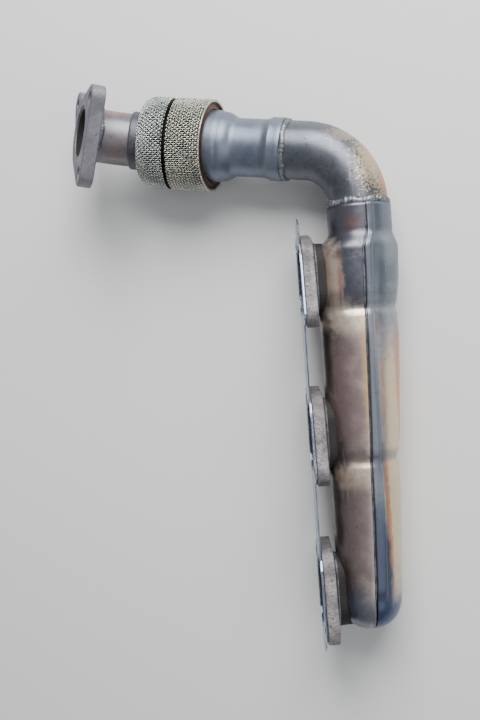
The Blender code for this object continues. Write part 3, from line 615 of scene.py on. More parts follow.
# painted reflection: the gasket steel has a blue base colour that stands in for a reflected blue surface
gasketReflectionLook = dict(
    base=(120, 134, 160), clouds=(150, 156, 168), rough=(0.20, 0.34), metal=0.95, speckAmount=0.25,
    scratches=0.4, bump=0.10)
elbowLook = dict(
    base=(90, 94, 102), clouds=(112, 114, 120), specks=(58, 52, 48), rough=(0.36, 0.54),
    bump=0.22, speckAmount=0.6,
    tints=[
        tint((0.052, 0.184, 0.012), (0.0105, 0.020, 0.030), (214, 192, 160), 0.75, ragged=1.2, scale=620.0),
        tint((0.036, 0.203, 0.012), (0.014, 0.005, 0.020), (204, 184, 156), 0.6, ragged=1.3, scale=620.0),
        tint((0.060, 0.176, 0.010), (0.004, 0.022, 0.03), (196, 140, 90), 0.55, ragged=0.9, scale=200.0),
        tint((0.012, 0.200, 0.0), (0.020, 0.02, far), (104, 108, 118), 0.6, ragged=0.3),
        tint((0.030, 0.178, -0.004), (0.014, 0.014, 0.02), (60, 62, 72), 0.6, ragged=0.4),
    ])
inletPipeLook = dict(
    base=(106, 114, 130), clouds=(122, 130, 144), rough=(0.38, 0.52), scratches=0.2, bump=0.10, metal=0.75,
    speckAmount=0.2,
    tints=[
        tint((0.0, 0.0, 0.0775), (far, far, 0.0022), (206, 132, 84), 0.75, soft=0.3, ragged=0.2),
        tint((0.0, 0.0, 0.0275), (far, far, 0.0022), (104, 106, 116), 0.6, ragged=0.2),
        tint((0.016, -0.012, 0.046), (0.004, 0.003, 0.004), (60, 58, 62), 0.7, ragged=0.8),
    ])
outletPipeLook = dict(
    base=(104, 106, 114), clouds=(126, 124, 128), rough=(0.38, 0.54), bump=0.16,
    tints=[
        tint((-0.016, 0.006, 0.018), (0.006, 0.010, 0.010), (196, 140, 106), 0.6, ragged=0.6),
        tint((0.008, 0.012, 0.014), (0.010, 0.010, 0.009), (150, 128, 118), 0.4, ragged=0.6),
    ])
wireLook = dict(
    base=(222, 220, 206), clouds=(186, 188, 178), specks=(96, 96, 92), rough=(0.22, 0.36), metal=1.0,
    speckAmount=0.5, bump=0.05, scratches=0.0, pits=0.1,
    # painted shade: the knitted wire is darkened on the side turned away from the camera, its underside
    tints=[tint((0.0, -0.036, 0.02), (far, 0.030, far), (120, 132, 132), 0.5, soft=0.6)])
# the outlet knit keeps the same painted shade
wireOutletLook = dict(wireLook, base=(216, 220, 212), clouds=(172, 180, 178))
# painted shade: the near-black bodies under the knit stand in for the shade in the gaps between the wire loops
shadeUnderKnitLook = dict(
    base=(16, 16, 15), clouds=(26, 25, 23), rough=(0.6, 0.8), metal=0.5, bump=0.5, grainScale=1.4)
rimLook = dict(
    base=(196, 192, 180), clouds=(168, 164, 152), rough=(0.28, 0.42), metal=0.95, bump=0.10)
capLook = dict(
    base=(70, 48, 40), clouds=(96, 66, 50), specks=(46, 34, 28), rough=(0.45, 0.65), metal=0.65,
    speckAmount=0.5, pits=0.5, bump=0.3)
collarLook = dict(
    base=(84, 72, 66), clouds=(112, 98, 90), rough=(0.45, 0.65), metal=0.7, pits=0.5, bump=0.3,
    # painted highlight: a lighter orange band on the front of each collar, between the flange and the shell
    tints=[tint((0.010, 0.0, 0.016), (0.003, far, 0.006), (150, 112, 86), 0.5, ragged=0.8)])
# painted shade: the cap neck is coloured darker than the outlet pipe, for the shade where it sinks into the knit
capNeckLook = dict(
    base=(74, 76, 84), clouds=(96, 96, 102), rough=(0.42, 0.6), metal=0.75, pits=0.4, bump=0.2)
sootLook = dict(
    base=(26, 24, 23), clouds=(44, 40, 37), specks=(60, 54, 48), rough=(0.7, 0.9), metal=0.2, bump=0.3,
    scratches=0.1)

finishes = {
    "portShell": tintedSteel("bronzedShell", asDrawn, portShellLook),
    "outerShell": tintedSteel("blueGreyShell", asDrawn, outerShellLook),
    "flange": tintedSteel("pittedFlange", asDrawn, flangeLook),
    "outletFlange": tintedSteel("outletFlangeSteel", onOutlet(outlet["bendLength"]), outletFlangeLook),
    "weld": tintedSteel("weldBead", asDrawn, weldLook),
    "gasket": tintedSteel("gasketSteelPaintedReflection", asDrawn, gasketReflectionLook),
    "elbow": tintedSteel("strawTintedElbow", asDrawn, elbowLook),
    "inletPipe": tintedSteel("greyInletPipe", limb, inletPipeLook),
    "outletPipe": tintedSteel("outletPipeSteel", onOutlet(0), outletPipeLook),
    "inletWire": tintedSteel("knittedWire", onFlex(0), wireLook),
    "outletWire": tintedSteel("knittedWireOutlet", onFlex(0), wireOutletLook),
    "shadeUnderKnit": tintedSteel("paintedShadeUnderKnit", onFlex(0), shadeUnderKnitLook),
    "cap": tintedSteel("rustyCap", onFlex(0), capLook),
    "collar": tintedSteel("darkCollarPaintedHighlight", asDrawn, collarLook),
    "rim": tintedSteel("brightRim", onFlex(0), rimLook),
    "capNeck": tintedSteel("capNeckPaintedShade", onFlex(flexLength), capNeckLook),
    "soot": tintedSteel("innerSoot", asDrawn, sootLook),
}
print("finishes made:", len(finishes))


# Pressed shells.

pressing = {"rows": 150, "turns": 96, "dome": 0.16, "leastEnd": 0.4, "endLift": 0.3, "rippleScale": 45,
            "dentFrom": -0.9, "dentOver": 0.6, "bandFrom": 0.03, "bandOver": 0.09}
portCut = {"depth": 0.024, "past": 0.006, "rounding": 0.0001}


def shellSection(y):
    halfWidth = (shell["widthAtMiddle"] + shell["taper"] * y) / 2
    halfHeight = shell["halfHeight"]
    middle = shell["left"] + halfWidth
    intoNeck = smooth((y - shoulderY) / shell["shoulder"])
    halfWidth += (shell["neckRadius"] - halfWidth) * intoNeck
    halfHeight += (shell["neckRadius"] - halfHeight) * intoNeck
    middle += (shell["neckX"] - middle) * intoNeck
    intoEnd = (shellLow + shell["endRadius"] - y) / shell["endRadius"]
    if intoEnd > 0:
        left = max(1 - min(intoEnd, 1) ** shell["endShape"], 0) ** (1 / shell["endShape"])
        halfWidth *= left
        halfHeight *= left
    return middle, halfWidth, halfHeight


def edgeHeight(y):
    # half the height at the seam, which stays open at the rounded end
    return shellSection(max(y, shellLow + pressing["leastEnd"] * shell["endRadius"]))[2]


def shellDent(y):
    total = 0.0
    for valley in valleys:
        away = abs(y - valley)
        total += shell["creaseDepth"] * (1 - smooth(away / shell["creaseWidth"]))
        total += shell["sagDepth"] * (1 - smooth(away / shell["sagWidth"]))
    return total


def shellSpot(y, angle, raised):
    # angle 0 looks away from the cylinder head
    middle, halfWidth, halfHeight = shellSection(y)
    facingOut = smooth((cos(angle) - pressing["dentFrom"]) / pressing["dentOver"])
    bare = Vector((middle + halfWidth * cos(angle), y, halfHeight * sin(angle)))
    raised -= shellDent(y) * facingOut
    if y < neckTop - shell["neck"]:
        raised -= shell["ripple"] * (0.5 + 0.5 * noise.noise(bare * pressing["rippleScale"])) * facingOut
    raised *= smooth((y - shellLow) / shell["endRadius"] + pressing["endLift"])
    across = max(halfWidth + raised, 0)
    tall = max(halfHeight + raised, 0)
    return Vector((middle + across * cos(angle), y, tall * sin(angle)))


def shellRow(share):
    # crowds the rows at the rounded end
    dome = pressing["dome"]
    if share < dome:
        return shellLow + shell["endRadius"] * (1 - cos(pi / 2 * share / dome))
    start = shellLow + shell["endRadius"]
    return start + (neckTop - start) * (share - dome) / (1 - dome)


def seamBand(y):
    lower = smooth((pressing["bandFrom"] - y) / pressing["bandOver"])
    return shell["bandTop"] + (shell["bandLow"] - shell["bandTop"]) * lower


def halfShell(side):
    # side 1 faces away from the cylinder head and laps over side -1
    work = bmesh.new()
    bmesh.ops.create_grid(work, x_segments=pressing["rows"], y_segments=pressing["turns"], size=1)
    for v in work.verts:
        y = shellRow((v.co.x + 1) / 2)
        halfHeight = edgeHeight(y)
        aboveEnd = y - shellLow - shell["endRadius"]
        if side > 0:
            past = asin(-shell["seamOffset"] / halfHeight)
            lift = (shell["wall"] + 2 * gap) * smooth(aboveEnd / shell["runIn"])
        else:
            lap = smooth(aboveEnd / shell["runIn"] - 1)
            under = shell["seamUnderlap"] + shell["buttGap"]
            past = asin((shell["seamOffset"] - shell["buttGap"] + under * lap) / halfHeight)
            lift = 0.0
        limit = pi / 2 + past
        angle = limit * v.co.y
        fromEdge = (limit - abs(angle)) * halfHeight
        raised = lift * smooth((seamBand(y) - fromEdge) / shell["seamStep"])
        v.co = shellSpot(y, angle if side > 0 else pi - angle, raised)
    bmesh.ops.remove_doubles(work, verts=work.verts, dist=mergeWithin["shell"])
    bmesh.ops.recalc_face_normals(work, faces=work.faces)
    outermost = max(work.faces, key=lambda f: f.calc_center_median().x * side)
    if outermost.normal.x * side < 0:
        bmesh.ops.reverse_faces(work, faces=work.faces)
    return work


def cutter(name, outline, depth, place):
    plateWork = boltPlate(outline, [], depth, portCut["rounding"], 1)
    return added(name, meshFrom(placed(plateWork, lay @ place), name))


outerShell = piece(halfShell(1), "outer_shell", "manifold", "outerShell", "outer_shell",
                   "shell_outer_side", sharp=60)
sootInside(outerShell, shell["wall"])

portShell = piece(halfShell(-1), "port_shell", "manifold", "portShell", "port_shell",
                  "shell_port_side", sharp=60)
throughShell = oval(collarWidth + 2 * gap, collarHeight + 2 * gap)
for y in portYs:
    opening = cutter("opening", throughShell, portCut["depth"], atPort(y, shell["left"] + portCut["past"]))
    cut = portShell.modifiers.new("opening", "BOOLEAN")
    cut.operation = "DIFFERENCE"
    cut.solver = "FAST"
    cut.object = opening
    bpy.context.view_layer.update()
    seen = portShell.evaluated_get(bpy.context.evaluated_depsgraph_get())
    opened = bpy.data.meshes.new_from_object(seen)
    portShell.modifiers.clear()
    portShell.data = opened
    bpy.data.objects.remove(opening)
sootInside(portShell, shell["wall"])
print("shells pressed:", len(portShell.data.polygons), "faces on the port side")


# Weld beads.

beads = {"depth": 0.16, "rough": 0.14, "sides": 10, "points": 168, "ripples": 48,
         "sway": 0.2, "sways": 7, "broad": 1.7}
seamWeld = {"from": 0.06, "over": 0.90, "points": 420, "ripples": 150, "sides": 8, "back": 0.6,
            "out": 0.0004, "outAtEnd": -0.0002, "least": 0.75, "lumpScale": 60,
            "drops": 26, "dropsAt": (valleys[0], valleys[1], 0.13), "dropSpread": 0.008,
            "dropTurn": (-0.25, 0.12), "dropLift": 0.2, "dropSize": (0.0002, 0.0006)}
neckWeld = {"past": 0.0003, "size": 0.0017, "rough": 0.34, "broad": 1.6,
            "drops": 50, "dropPast": 0.0012, "dropSpread": 0.0016, "dropSize": (0.0003, 0.0009)}
elbowWeld = {"past": 0.0002, "size": 0.0013, "broad": 1.9}
portWeld = {"spacing": 0.0011, "pointsPerRipple": 3, "sides": 8}


def beadSwell(count, ripples, rough=beads["rough"]):
    # the row of coins along a bead, as shares of its thickness
    out = []
    for i in range(count):
        coin = abs(sin(pi * ripples * i / count))
        out.append(1 - beads["depth"] * coin + rough * (steady.random() - 0.5))
    return out


def spatter(work, spots, smallest, largest):
    # little beads of weld metal thrown beside the seam
    for point in spots:
        size = smallest + (largest - smallest) * steady.random() ** 2
        bmesh.ops.create_icosphere(work, subdivisions=1, radius=size, matrix=Matrix.Translation(point))
    return work


def ringBead(radius, place, size, rough=beads["rough"], broad=beads["broad"]):
    count = beads["points"]
    turns = [2 * pi * i / count for i in range(count)]
    sway = size * beads["sway"]
    path = [Vector((radius * cos(a), radius * sin(a), sway * sin(beads["sways"] * a))) for a in turns]
    work = cableMesh([path], size, beads["sides"], True, [beadSwell(count, beads["ripples"], rough)])
    bmesh.ops.scale(work, vec=(1, 1, broad), verts=work.verts)
    return placed(work, place)


def seamBead(up):
    points = []
    radius = ports["weld"]
    last = seamWeld["points"] - 1
    for y in [shellRow(seamWeld["from"] + seamWeld["over"] * i / last) for i in range(seamWeld["points"])]:
        lapped = smooth((y - shellLow - shell["endRadius"]) / shell["runIn"])
        back = (shell["seamOffset"] - gap - seamWeld["back"] * radius) * lapped
        out = seamWeld["out"] * lapped + seamWeld["outAtEnd"] * (1 - lapped)
        points.append(shellSpot(y, (pi / 2 - back / edgeHeight(y)) * up, out))
    least = seamWeld["least"]
    swell = [value * (least + (1 - least) * noise.noise(p * seamWeld["lumpScale"]))
             for value, p in zip(beadSwell(len(points), seamWeld["ripples"]), points)]
    work = cableMesh([points], radius, seamWeld["sides"], False, [swell])
    dropYs = (steady.choice(seamWeld["dropsAt"]) + steady.gauss(0, seamWeld["dropSpread"])
              for i in range(seamWeld["drops"]))
    lift = shell["wall"] * seamWeld["dropLift"]
    near = [shellSpot(y, (pi / 2 + steady.uniform(*seamWeld["dropTurn"])) * up, lift) for y in dropYs]
    return spatter(work, near, *seamWeld["dropSize"])


piece(seamBead(1), "upper_seam_bead", "manifold", "weld", "weld_metal", "seam_weld_upper")
piece(seamBead(-1), "lower_seam_bead", "manifold", "weld", "weld_metal", "seam_weld_lower")

neckPlace = facing(elbowStart - row * (gap + pipes["weld"]), row)
neckBead = ringBead(pipes["radius"] + neckWeld["past"], neckPlace, neckWeld["size"], neckWeld["rough"],
                    neckWeld["broad"])
dropCircle = pipes["radius"] + neckWeld["dropPast"]
dropTurns = (steady.uniform(0, 2 * pi) for i in range(neckWeld["drops"]))
dropSpread = neckWeld["dropSpread"]
thrown = [neckPlace @ Vector((dropCircle * cos(a), dropCircle * sin(a), steady.gauss(0.0, dropSpread)))
          for a in dropTurns]
piece(spatter(neckBead, thrown, *neckWeld["dropSize"]), "neck_bead", "manifold",
      "weld", "weld_metal", "neck_weld")

elbowBeadPlace = facing(elbowEnd + limbHeading * (pipes["socketStart"] - gap - pipes["weld"]), limbHeading)
elbowBead = ringBead(pipes["radius"] + elbowWeld["past"], elbowBeadPlace, elbowWeld["size"],
                     broad=elbowWeld["broad"])
piece(elbowBead, "elbow_bead", "manifold", "weld", "weld_metal", "elbow_weld")

outletEnd = onOutlet(outlet["bendLength"])
outletBeadPlace = outletEnd @ Matrix.Translation((0, 0, outlet["back"] - gap - outlet["weld"]))
outletBead = ringBead(outlet["radius"] + 2 * gap + outlet["weld"], outletBeadPlace, outlet["weld"])
piece(outletBead, "outlet_bead", "outlet", "weld", "weld_metal", "outlet_weld")

for number, y in enumerate(portYs, start=1):
    out = 2 * (gap + ports["weld"])
    edge = [Vector((a, b, 0)) for a, b in oval(collarWidth + out, collarHeight + out)]
    fine = []
    for a, b in zip(edge, edge[1:] + edge[:1]):
        pieces = max(int((b - a).length / portWeld["spacing"]), 1)
        fine += [a.lerp(b, i / pieces) for i in range(pieces)]
    x = ports["flange"] + gap + ports["weld"]
    path = [atPort(y, x) @ p for p in fine]
    swell = beadSwell(len(path), len(path) // portWeld["pointsPerRipple"])
    bead = cableMesh([path], ports["weld"], portWeld["sides"], True, [swell])
    piece(bead, f"port_bead_{number}", "manifold", "weld", "weld_metal", f"port_weld_{number}")

collar = {"back": 0.0005, "reach": 0.014, "rounding": 0.0003, "roundSteps": 2}
long = shell["left"] + collar["reach"] - collar["back"]
for number, y in enumerate(portYs, start=1):
    tube = boltPlate(oval(collarWidth, collarHeight), [oval(ports["width"], ports["height"])], long,
                     collar["rounding"], collar["roundSteps"])
    placed(tube, atPort(y, collar["back"] + long / 2))
    made = piece(tube, f"collar_{number}", "manifold", "collar", "pipe_steel",
                 f"port_collar_{number}", sharp=60)
    made.modifiers.new("even", "WEIGHTED_NORMAL").keep_sharp = True
print("beads and collars laid")


# Port flanges, and the embossed lines on the gasket.

portFlange = {"rounding": 0.0009, "holeSides": 28}
gasketBead = {"lift": 0.0013, "past": 0.005, "size": 0.00035, "sides": 6}

earCentres = ((ports["earAlong"], -ports["earAcross"]), (-ports["earAlong"], ports["earAcross"]))
hubReach = (collarWidth - collarHeight) / 2
hubRadius = collarHeight / 2 + gap + ports["rim"]
flangeOutline = around(((-hubReach, 0), hubRadius), ((hubReach, 0), hubRadius),
                       *[(centre, ports["earRadius"]) for centre in earCentres])
flangeHoles = [circle(centre, ports["studHole"] / 2, portFlange["holeSides"]) for centre in earCentres]
gasketLine = oval(ports["width"] + gasketBead["past"], ports["height"] + gasketBead["past"])

for number, y in enumerate(portYs, start=1):
    flange = boltPlate(flangeOutline, [throughShell] + flangeHoles, ports["flange"], portFlange["rounding"])
    placed(flange, atPort(y, ports["flange"] / 2))
    made = piece(flange, f"flange_{number}", "manifold", "flange", "flange_steel", f"port_flange_{number}")
    made.modifiers.new("even", "WEIGHTED_NORMAL").keep_sharp = True

for number, y in enumerate(portYs, start=1):
    ring = [atPort(y, -gasketBead["lift"]) @ Vector((a, b, 0)) for a, b in gasketLine]
    piece(cableMesh([ring], gasketBead["size"], gasketBead["sides"], True), f"gasket_bead_{number}", "manifold",
          "gasket", "gasket_steel")
print("flanges and gasket lines made")


# Elbow and inlet pipe.

elbowTube = {"bendSteps": 36, "sides": 64, "tail": (0.006, 0.012, 0.021)}
# nose: points out from the socket and along from its start; step: along from the bulge's start
inletTube = {"nose": ((-0.0003, 0.0), (0.0, 0.002), (-0.0002, 0.005), (0.0, 0.0085)),
             "socketBack": 0.001, "fall": 0.003, "flareFrom": 0.006, "flareBack": 0.002, "flareOut": 0.0028,
             "step": (0.0015, 0.0042, 0.0056), "rounding": 0.0022, "roundSteps": 4, "sides": 96}

elbowLine = [Vector((shell["neckX"], neckTop - pipes["inNeck"], 0)), Vector((shell["neckX"], neckTop, 0))]
elbowLine += [onElbow(elbowAngle * i / elbowTube["bendSteps"]) for i in range(elbowTube["bendSteps"] + 1)]
elbowLine += [elbowEnd + limbHeading * d for d in elbowTube["tail"]]
elbowWork = cableMesh([elbowLine], pipes["radius"], elbowTube["sides"], False, capped=False)
elbowPipe = piece(elbowWork, "elbow", "manifold", "elbow", "pipe_steel", "elbow_pipe", sharp=60)
sootInside(elbowPipe, pipes["wall"])

socket = pipes["radius"] + gap + pipes["wall"]
socketEnd = pipes["socketStart"] + pipes["socket"]
pipeEnd = pipes["socketStart"] + pipes["inlet"]
bulgeStart = pipeEnd - pipes["bulge"]
stepRadius = pipes["bulgeRadius"] - pipes["bulgeStep"]
inletLine = [(socket + out, pipes["socketStart"] + along) for out, along in inletTube["nose"]]
inletLine += [
    (socket, socketEnd - inletTube["socketBack"]),
    (pipes["radius"], socketEnd + inletTube["fall"]),
    (pipes["radius"], bulgeStart - inletTube["flareFrom"]),
    (pipes["radius"] + inletTube["flareOut"], bulgeStart - inletTube["flareBack"]),
    (stepRadius, bulgeStart + inletTube["step"][0]),
    (stepRadius, bulgeStart + inletTube["step"][1]),
    (pipes["bulgeRadius"], bulgeStart + inletTube["step"][2]),
    (pipes["bulgeRadius"], pipeEnd)]
inletLine = eased(inletLine, inletTube["rounding"], inletTube["roundSteps"])
inletWork = placed(spun(walled(inletLine, pipes["wall"]), inletTube["sides"]), limb)
piece(inletWork, "inlet_pipe_turned", "manifold", "inletPipe", "grey_pipe", "inlet_pipe", sharp=50)
print("elbow and inlet pipe made")


# Flexible joint.

dish = {"clear": 0.0005, "lipBack": 0.0002, "backTo": 0.005, "lipTop": 0.0014, "floor": 0.0022,
        "wallBack": 0.0004, "underFloor": 0.0036, "rollOut": 0.0012, "rollTop": 0.0008,
        "rounding": 0.0005, "roundSteps": 2, "sides": 96}
rimRing = {"at": 0.0007, "past": 0.0001, "size": 0.0007, "points": 120, "sides": 8}
knit = {"pitch": 0.00300, "course": 0.00222, "loop": 0.00138, "bow": 0.00050, "lift": 0.00040, "wire": 0.00032,
        "lean": 0.44, "points": 8, "core": 0.00180, "inset": 0.0001, "sides": 4, "low": 0.4,
        "waver": 0.00030, "waverStep": (3.1, 0.7), "rise": 0.8, "riseStep": (1.7, 0.9), "riseSlice": 4}

capInner = pipes["bulgeRadius"] + dish["clear"]
lip = flex["capLip"] - dish["lipBack"]
lipInside = flex["capLip"] - flex["capWall"]
lipWall = lipInside - dish["lipBack"]
capLine = [(lip, dish["backTo"]), (lip, dish["lipTop"]), (lipWall, dish["floor"]),
           (capInner + dish["rollOut"], dish["rollTop"]), (capInner, 0.0), (capInner, dish["floor"]),
           (lipInside - dish["wallBack"], dish["underFloor"]), (lipWall, dish["backTo"])]
capLine = eased(capLine, dish["rounding"], dish["roundSteps"])
piece(bentAlong(spun(capLine, dish["sides"]), onFlex), "dished_cap", "manifold",
      "cap", "rust_brown", "inlet_cap", sharp=50)
rimPlace = onFlex(rimRing["at"])
rimCircle = circle((0, 0), flex["capLip"] + rimRing["past"], rimRing["points"])
rimPath = [rimPlace @ Vector((x, y, 0)) for x, y in rimCircle]
piece(cableMesh([rimPath], rimRing["size"], rimRing["sides"], True), "sleeve_rim", "manifold",
      "rim", "wire_mesh")


def knitCourse(radius, distance, number, spread=1.0):
    # one course of loops round the joint
    loops = round(2 * pi * flex["radius"] / knit["pitch"])
    alongStep, turnStep = knit["waverStep"]
    riseAlong, riseTurn = knit["riseStep"]
    spots = []
    place = {}
    for i in range(loops * knit["points"]):
        t = i / knit["points"]
        turn = 2 * pi * (t + knit["lean"] * number) / loops
        turn += knit["bow"] * sin(4 * pi * t) / radius
        waver = knit["waver"] * noise.noise(Vector((number * alongStep, t * turnStep, 0)))
        z = distance + knit["loop"] * spread * cos(2 * pi * t) + waver
        rise = knit["rise"] * noise.noise(Vector((number * riseAlong, t * riseTurn, knit["riseSlice"])))
        r = radius + knit["lift"] * (cos(4 * pi * t) - knit["low"] + rise)
        key = round(z, 4)
        if key not in place:
            place[key] = onFlex(key)
        spots.append(place[key] @ Vector((r * cos(turn), r * sin(turn), z - key)))
    return spots


knitRadius = flex["radius"] - knit["wire"] - knit["lift"] - knit["inset"]
coreRadius = flex["radius"] - knit["core"]
first = knit["loop"] + knit["wire"]
run = flex["inlet"] - 2 * first
count = round(run / knit["course"])
courses = [knitCourse(knitRadius, first + i * run / count, i) for i in range(count + 1)]
piece(cableMesh(courses, knit["wire"], knit["sides"], True), "inlet_knit", "manifold",
      "inletWire", "wire_mesh", "inlet_mesh_ring", sharp=180)

# the near-black bodies under the knit, painted shade that darkens the gaps between the loops; each edge point is in
# from the core's radius and along from the crease
core = {"sides": 96, "edge": ((0.0010, 0.0), (0.0003, 0.0004), (0.0, 0.0012)),
        "lipAt": 0.0022, "lipPast": 0.0004, "lipDown": 0.0012, "lipEnd": 0.0010,
        "shoulder": (78, 68, 58, 48, 38, 28, 18, 8, 0), "neckTop": 0.0022, "neckLow": 0.004,
        "insideMiddle": 0.002, "insideTop": 0.003}
ringInside = flex["radius"] - flex["wall"]
top = flex["inlet"]
lipOut = flex["capLip"] + gap
coreLine = [(ringInside, top), *[(coreRadius - back, top - along) for back, along in core["edge"]],
            (coreRadius, top / 2), (coreRadius, core["lipAt"]), (flex["capLip"] + core["lipPast"], core["lipDown"]),
            (lipOut, core["lipEnd"]), (lipOut, flex["capDepth"] + gap), (ringInside, flex["capDepth"] + gap),
            (ringInside, top / 2)]
piece(bentAlong(spun(coreLine, core["sides"]), onFlex), "inlet_knit_core", "manifold",
      "shadeUnderKnit", "wire_mesh", sharp=50)

outletRingStart = flex["inlet"] + flex["crease"]
end = flex["outlet"]
neckRadius = outlet["radius"] + 3 * gap + outlet["wall"]
roundOff = flex["roundOff"]
coreRound = roundOff - knit["core"]
shoulderLine = [(coreRadius - coreRound * (1 - cos(a)), end - knit["core"] - coreRound * (1 - sin(a)))
                for a in (radians(degrees) for degrees in core["shoulder"])]
outletCore = [(neckRadius, end - core["neckTop"]), *shoulderLine,
              *[(coreRadius - back, along) for back, along in reversed(core["edge"])],
              (ringInside, 0), (ringInside, end / 2 - core["insideMiddle"]),
              (ringInside, end - roundOff + core["insideTop"]), (neckRadius, end - core["neckLow"])]
piece(bentAlong(spun(outletCore, core["sides"]), lambda d: onFlex(outletRingStart + d)),
      "outlet_knit_core", "outlet", "shadeUnderKnit", "wire_mesh", sharp=50)

shoulderKnit = {"courses": 9, "degrees": 8.8, "leastSpread": 0.1}
straight = end - roundOff - first
count = round(straight / knit["course"])
courses = [knitCourse(knitRadius, outletRingStart + first + i * straight / count, i) for i in range(count + 1)]
reach = roundOff - knit["wire"] - knit["lift"]
for i in range(1, shoulderKnit["courses"] + 1):
    a = radians(i * shoulderKnit["degrees"])
    radius = knitRadius - reach * (1 - cos(a))
    distance = outletRingStart + end - roundOff + reach * sin(a)
    courses.append(knitCourse(radius, distance, count + i, max(cos(a), shoulderKnit["leastSpread"])))
piece(cableMesh(courses, knit["wire"], knit["sides"], True), "outlet_knit", "outlet",
      "outletWire", "wire_mesh", "outlet_mesh_ring", sharp=180)

capNeck = {"depth": 0.013, "cuff": 0.006, "taper": 0.003, "past": 0.006, "underBulge": 0.0034, "wall": 0.0012,
           "lipIn": 0.0006, "lipBack": 0.001, "rounding": 0.0012, "sides": 72}
neckOut = outlet["radius"] + gap + outlet["wall"]
cuffOut = pipes["bulgeRadius"] - capNeck["underBulge"]
neckEnd = capNeck["depth"] + capNeck["past"]
neckLine = [(cuffOut, 0), (cuffOut, capNeck["cuff"]), (neckOut, capNeck["cuff"] + capNeck["taper"]),
            (neckOut, neckEnd - capNeck["lipBack"]), (neckOut - capNeck["lipIn"], neckEnd)]
neckWork = spun(walled(eased(neckLine, capNeck["rounding"]), capNeck["wall"]), capNeck["sides"])
piece(bentAlong(neckWork, lambda d: onFlex(flexLength - capNeck["depth"] + d)),
      "cap_neck", "outlet", "capNeck", "pipe_steel", "outlet_cap", sharp=50)
print("flexible joint knitted")


# Outlet pipe and flange.

outletTube = {"steps": 16, "sides": 64}
outletPlate = {"rounding": 0.0011, "turns": 240, "boreSides": 72, "holeSides": 28, "parallel": 1e-12}

inner = onFlex(flexLength - outlet["inCap"]).translation
outer = outletEnd @ Vector((0, 0, outlet["flange"]))
bendPoints = [onOutlet(outlet["bendLength"] * i / outletTube["steps"]).translation
              for i in range(outletTube["steps"] + 1)]
outletLine = [inner] + bendPoints + [outer]
outletWork = cableMesh([outletLine], outlet["radius"], outletTube["sides"], False, capped=False)
outletPipe = piece(outletWork, "outlet_pipe_bent", "outlet", "outletPipe", "outlet_pipe_steel",
                   "outlet_pipe", sharp=60)
sootInside(outletPipe, outlet["wall"])

ears = [(-outlet["earCircle"] * cos(a), -outlet["earCircle"] * sin(a)) for a in outlet["ears"]]
body = around(((0, 0), outlet["hub"]), *[(ear, outlet["earRadius"]) for ear in ears[:2]])
arm = around(((0, 0), outlet["arm"]), (ears[2], outlet["earRadius"]))


def mergedOutline(a, b):
    # the outer line of two overlapping shapes, seen from the middle
    out = []
    for i in range(outletPlate["turns"]):
        turn = 2 * pi * i / outletPlate["turns"]
        ray = Vector((cos(turn), sin(turn)))
        best = 0.0
        for line in (a, b):
            for p, q in zip(line, line[1:] + line[:1]):
                p, q = Vector(p), Vector(q)
                side = q - p
                cross = ray.x * side.y - ray.y * side.x
                if abs(cross) < outletPlate["parallel"]:
                    continue
                reach = (p.x * side.y - p.y * side.x) / cross
                share = (p.x * ray.y - p.y * ray.x) / cross
                if 0 <= share <= 1 and reach > best:
                    best = reach
        out.append((ray.x * best, ray.y * best))
    return out


holes = [circle((0, 0), outlet["radius"] + gap, outletPlate["boreSides"])]
holes += [circle(ear, outlet["studHole"] / 2, outletPlate["holeSides"]) for ear in ears]
flangePlace = outletEnd @ Matrix.Translation((0, 0, outlet["back"] + outlet["flange"] / 2))
plateWork = boltPlate(mergedOutline(body, arm), holes, outlet["flange"], outletPlate["rounding"])
outletFlange = piece(placed(plateWork, flangePlace), "outlet_flange_plate", "outlet", "outletFlange",
                     "outlet_steel", "outlet_flange")
outletFlange.modifiers.new("even", "WEIGHTED_NORMAL").keep_sharp = True
print("outlet made")


# Nodes that keep their own shape.

keptNodes = {
    "gasket": "gasket",
    "liner_lower": "soot", "liner_middle": "soot", "liner_upper": "soot", "inlet_sleeve": "soot",
    "floating_sleeve": "soot", "bellows": "soot"}
for name, finish in keptNodes.items():
    for place in frame["nodes"][name].material_slots:
        place.material = finishes[finish]
print("kept nodes finished:", len(keptNodes))


# Studio.

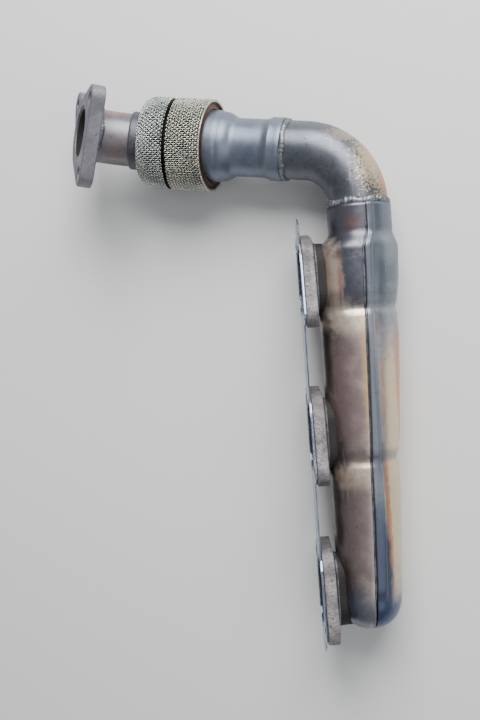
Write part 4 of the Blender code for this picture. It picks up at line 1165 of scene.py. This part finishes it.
view = {"at": (-0.0460, 0.0547, 0.685), "roll": 0.068, "lens": 50.0, "sensor": 36}
ground = {"size": 4.0, "under": 0.0002, "colour": (0.78, 0.78, 0.77, 1), "rough": 0.8}
lamps = {"skyFromAbove": {"towards": (0.30, 0.85, 0.75), "distance": 1.3, "size": 1.0, "power": 34.0},
         "fillFromSide": {"towards": (0.9, -0.3, 0.8), "distance": 1.5, "size": 1.2, "power": 5.0}}
room = {"colour": (0.92, 0.95, 1.0, 1), "strength": 0.34}

camera = added("camera", bpy.data.cameras.new("camera"))
camera.data.lens = view["lens"]
camera.data.sensor_width = view["sensor"]
right = Vector((1, -view["roll"], 0)).normalized()
up = Vector((view["roll"], 1, 0)).normalized()
aimed = Matrix((right, up, right.cross(up))).transposed().to_4x4()
camera.matrix_world = lay @ (Matrix.Translation(Vector(view["at"])) @ aimed)
bpy.context.scene.camera = camera

floorWork = bmesh.new()
bmesh.ops.create_grid(floorWork, x_segments=1, y_segments=1, size=ground["size"])
bmesh.ops.translate(floorWork, vec=(0, 0, -ground["under"]), verts=floorWork.verts)
floor = added("floor", meshFrom(floorWork, "floor"))
floorPaint = bpy.data.materials.new("paleFloor")
floorPaint.use_nodes = True
floorShader = floorPaint.node_tree.nodes["Principled BSDF"]
floorShader.inputs["Base Color"].default_value = ground["colour"]
floorShader.inputs["Roughness"].default_value = ground["rough"]
floor.data.materials.append(floorPaint)

middle = (cadBox[0] + cadBox[1]) / 2
for name, light in lamps.items():
    lamp = added(name, bpy.data.lights.new(name, "AREA"))
    lamp.data.size = light["size"]
    lamp.data.energy = light["power"]
    aim = Vector(light["towards"]).normalized()
    lamp.location = middle + aim * light["distance"]
    lamp.rotation_mode = "QUATERNION"
    lamp.rotation_quaternion = aim.to_track_quat("Z", "Y")
world = bpy.data.worlds.new("paleRoom")
bpy.context.scene.world = world
world.use_nodes = True
world.node_tree.nodes["Background"].inputs["Color"].default_value = room["colour"]
world.node_tree.nodes["Background"].inputs["Strength"].default_value = room["strength"]
print("studio set")
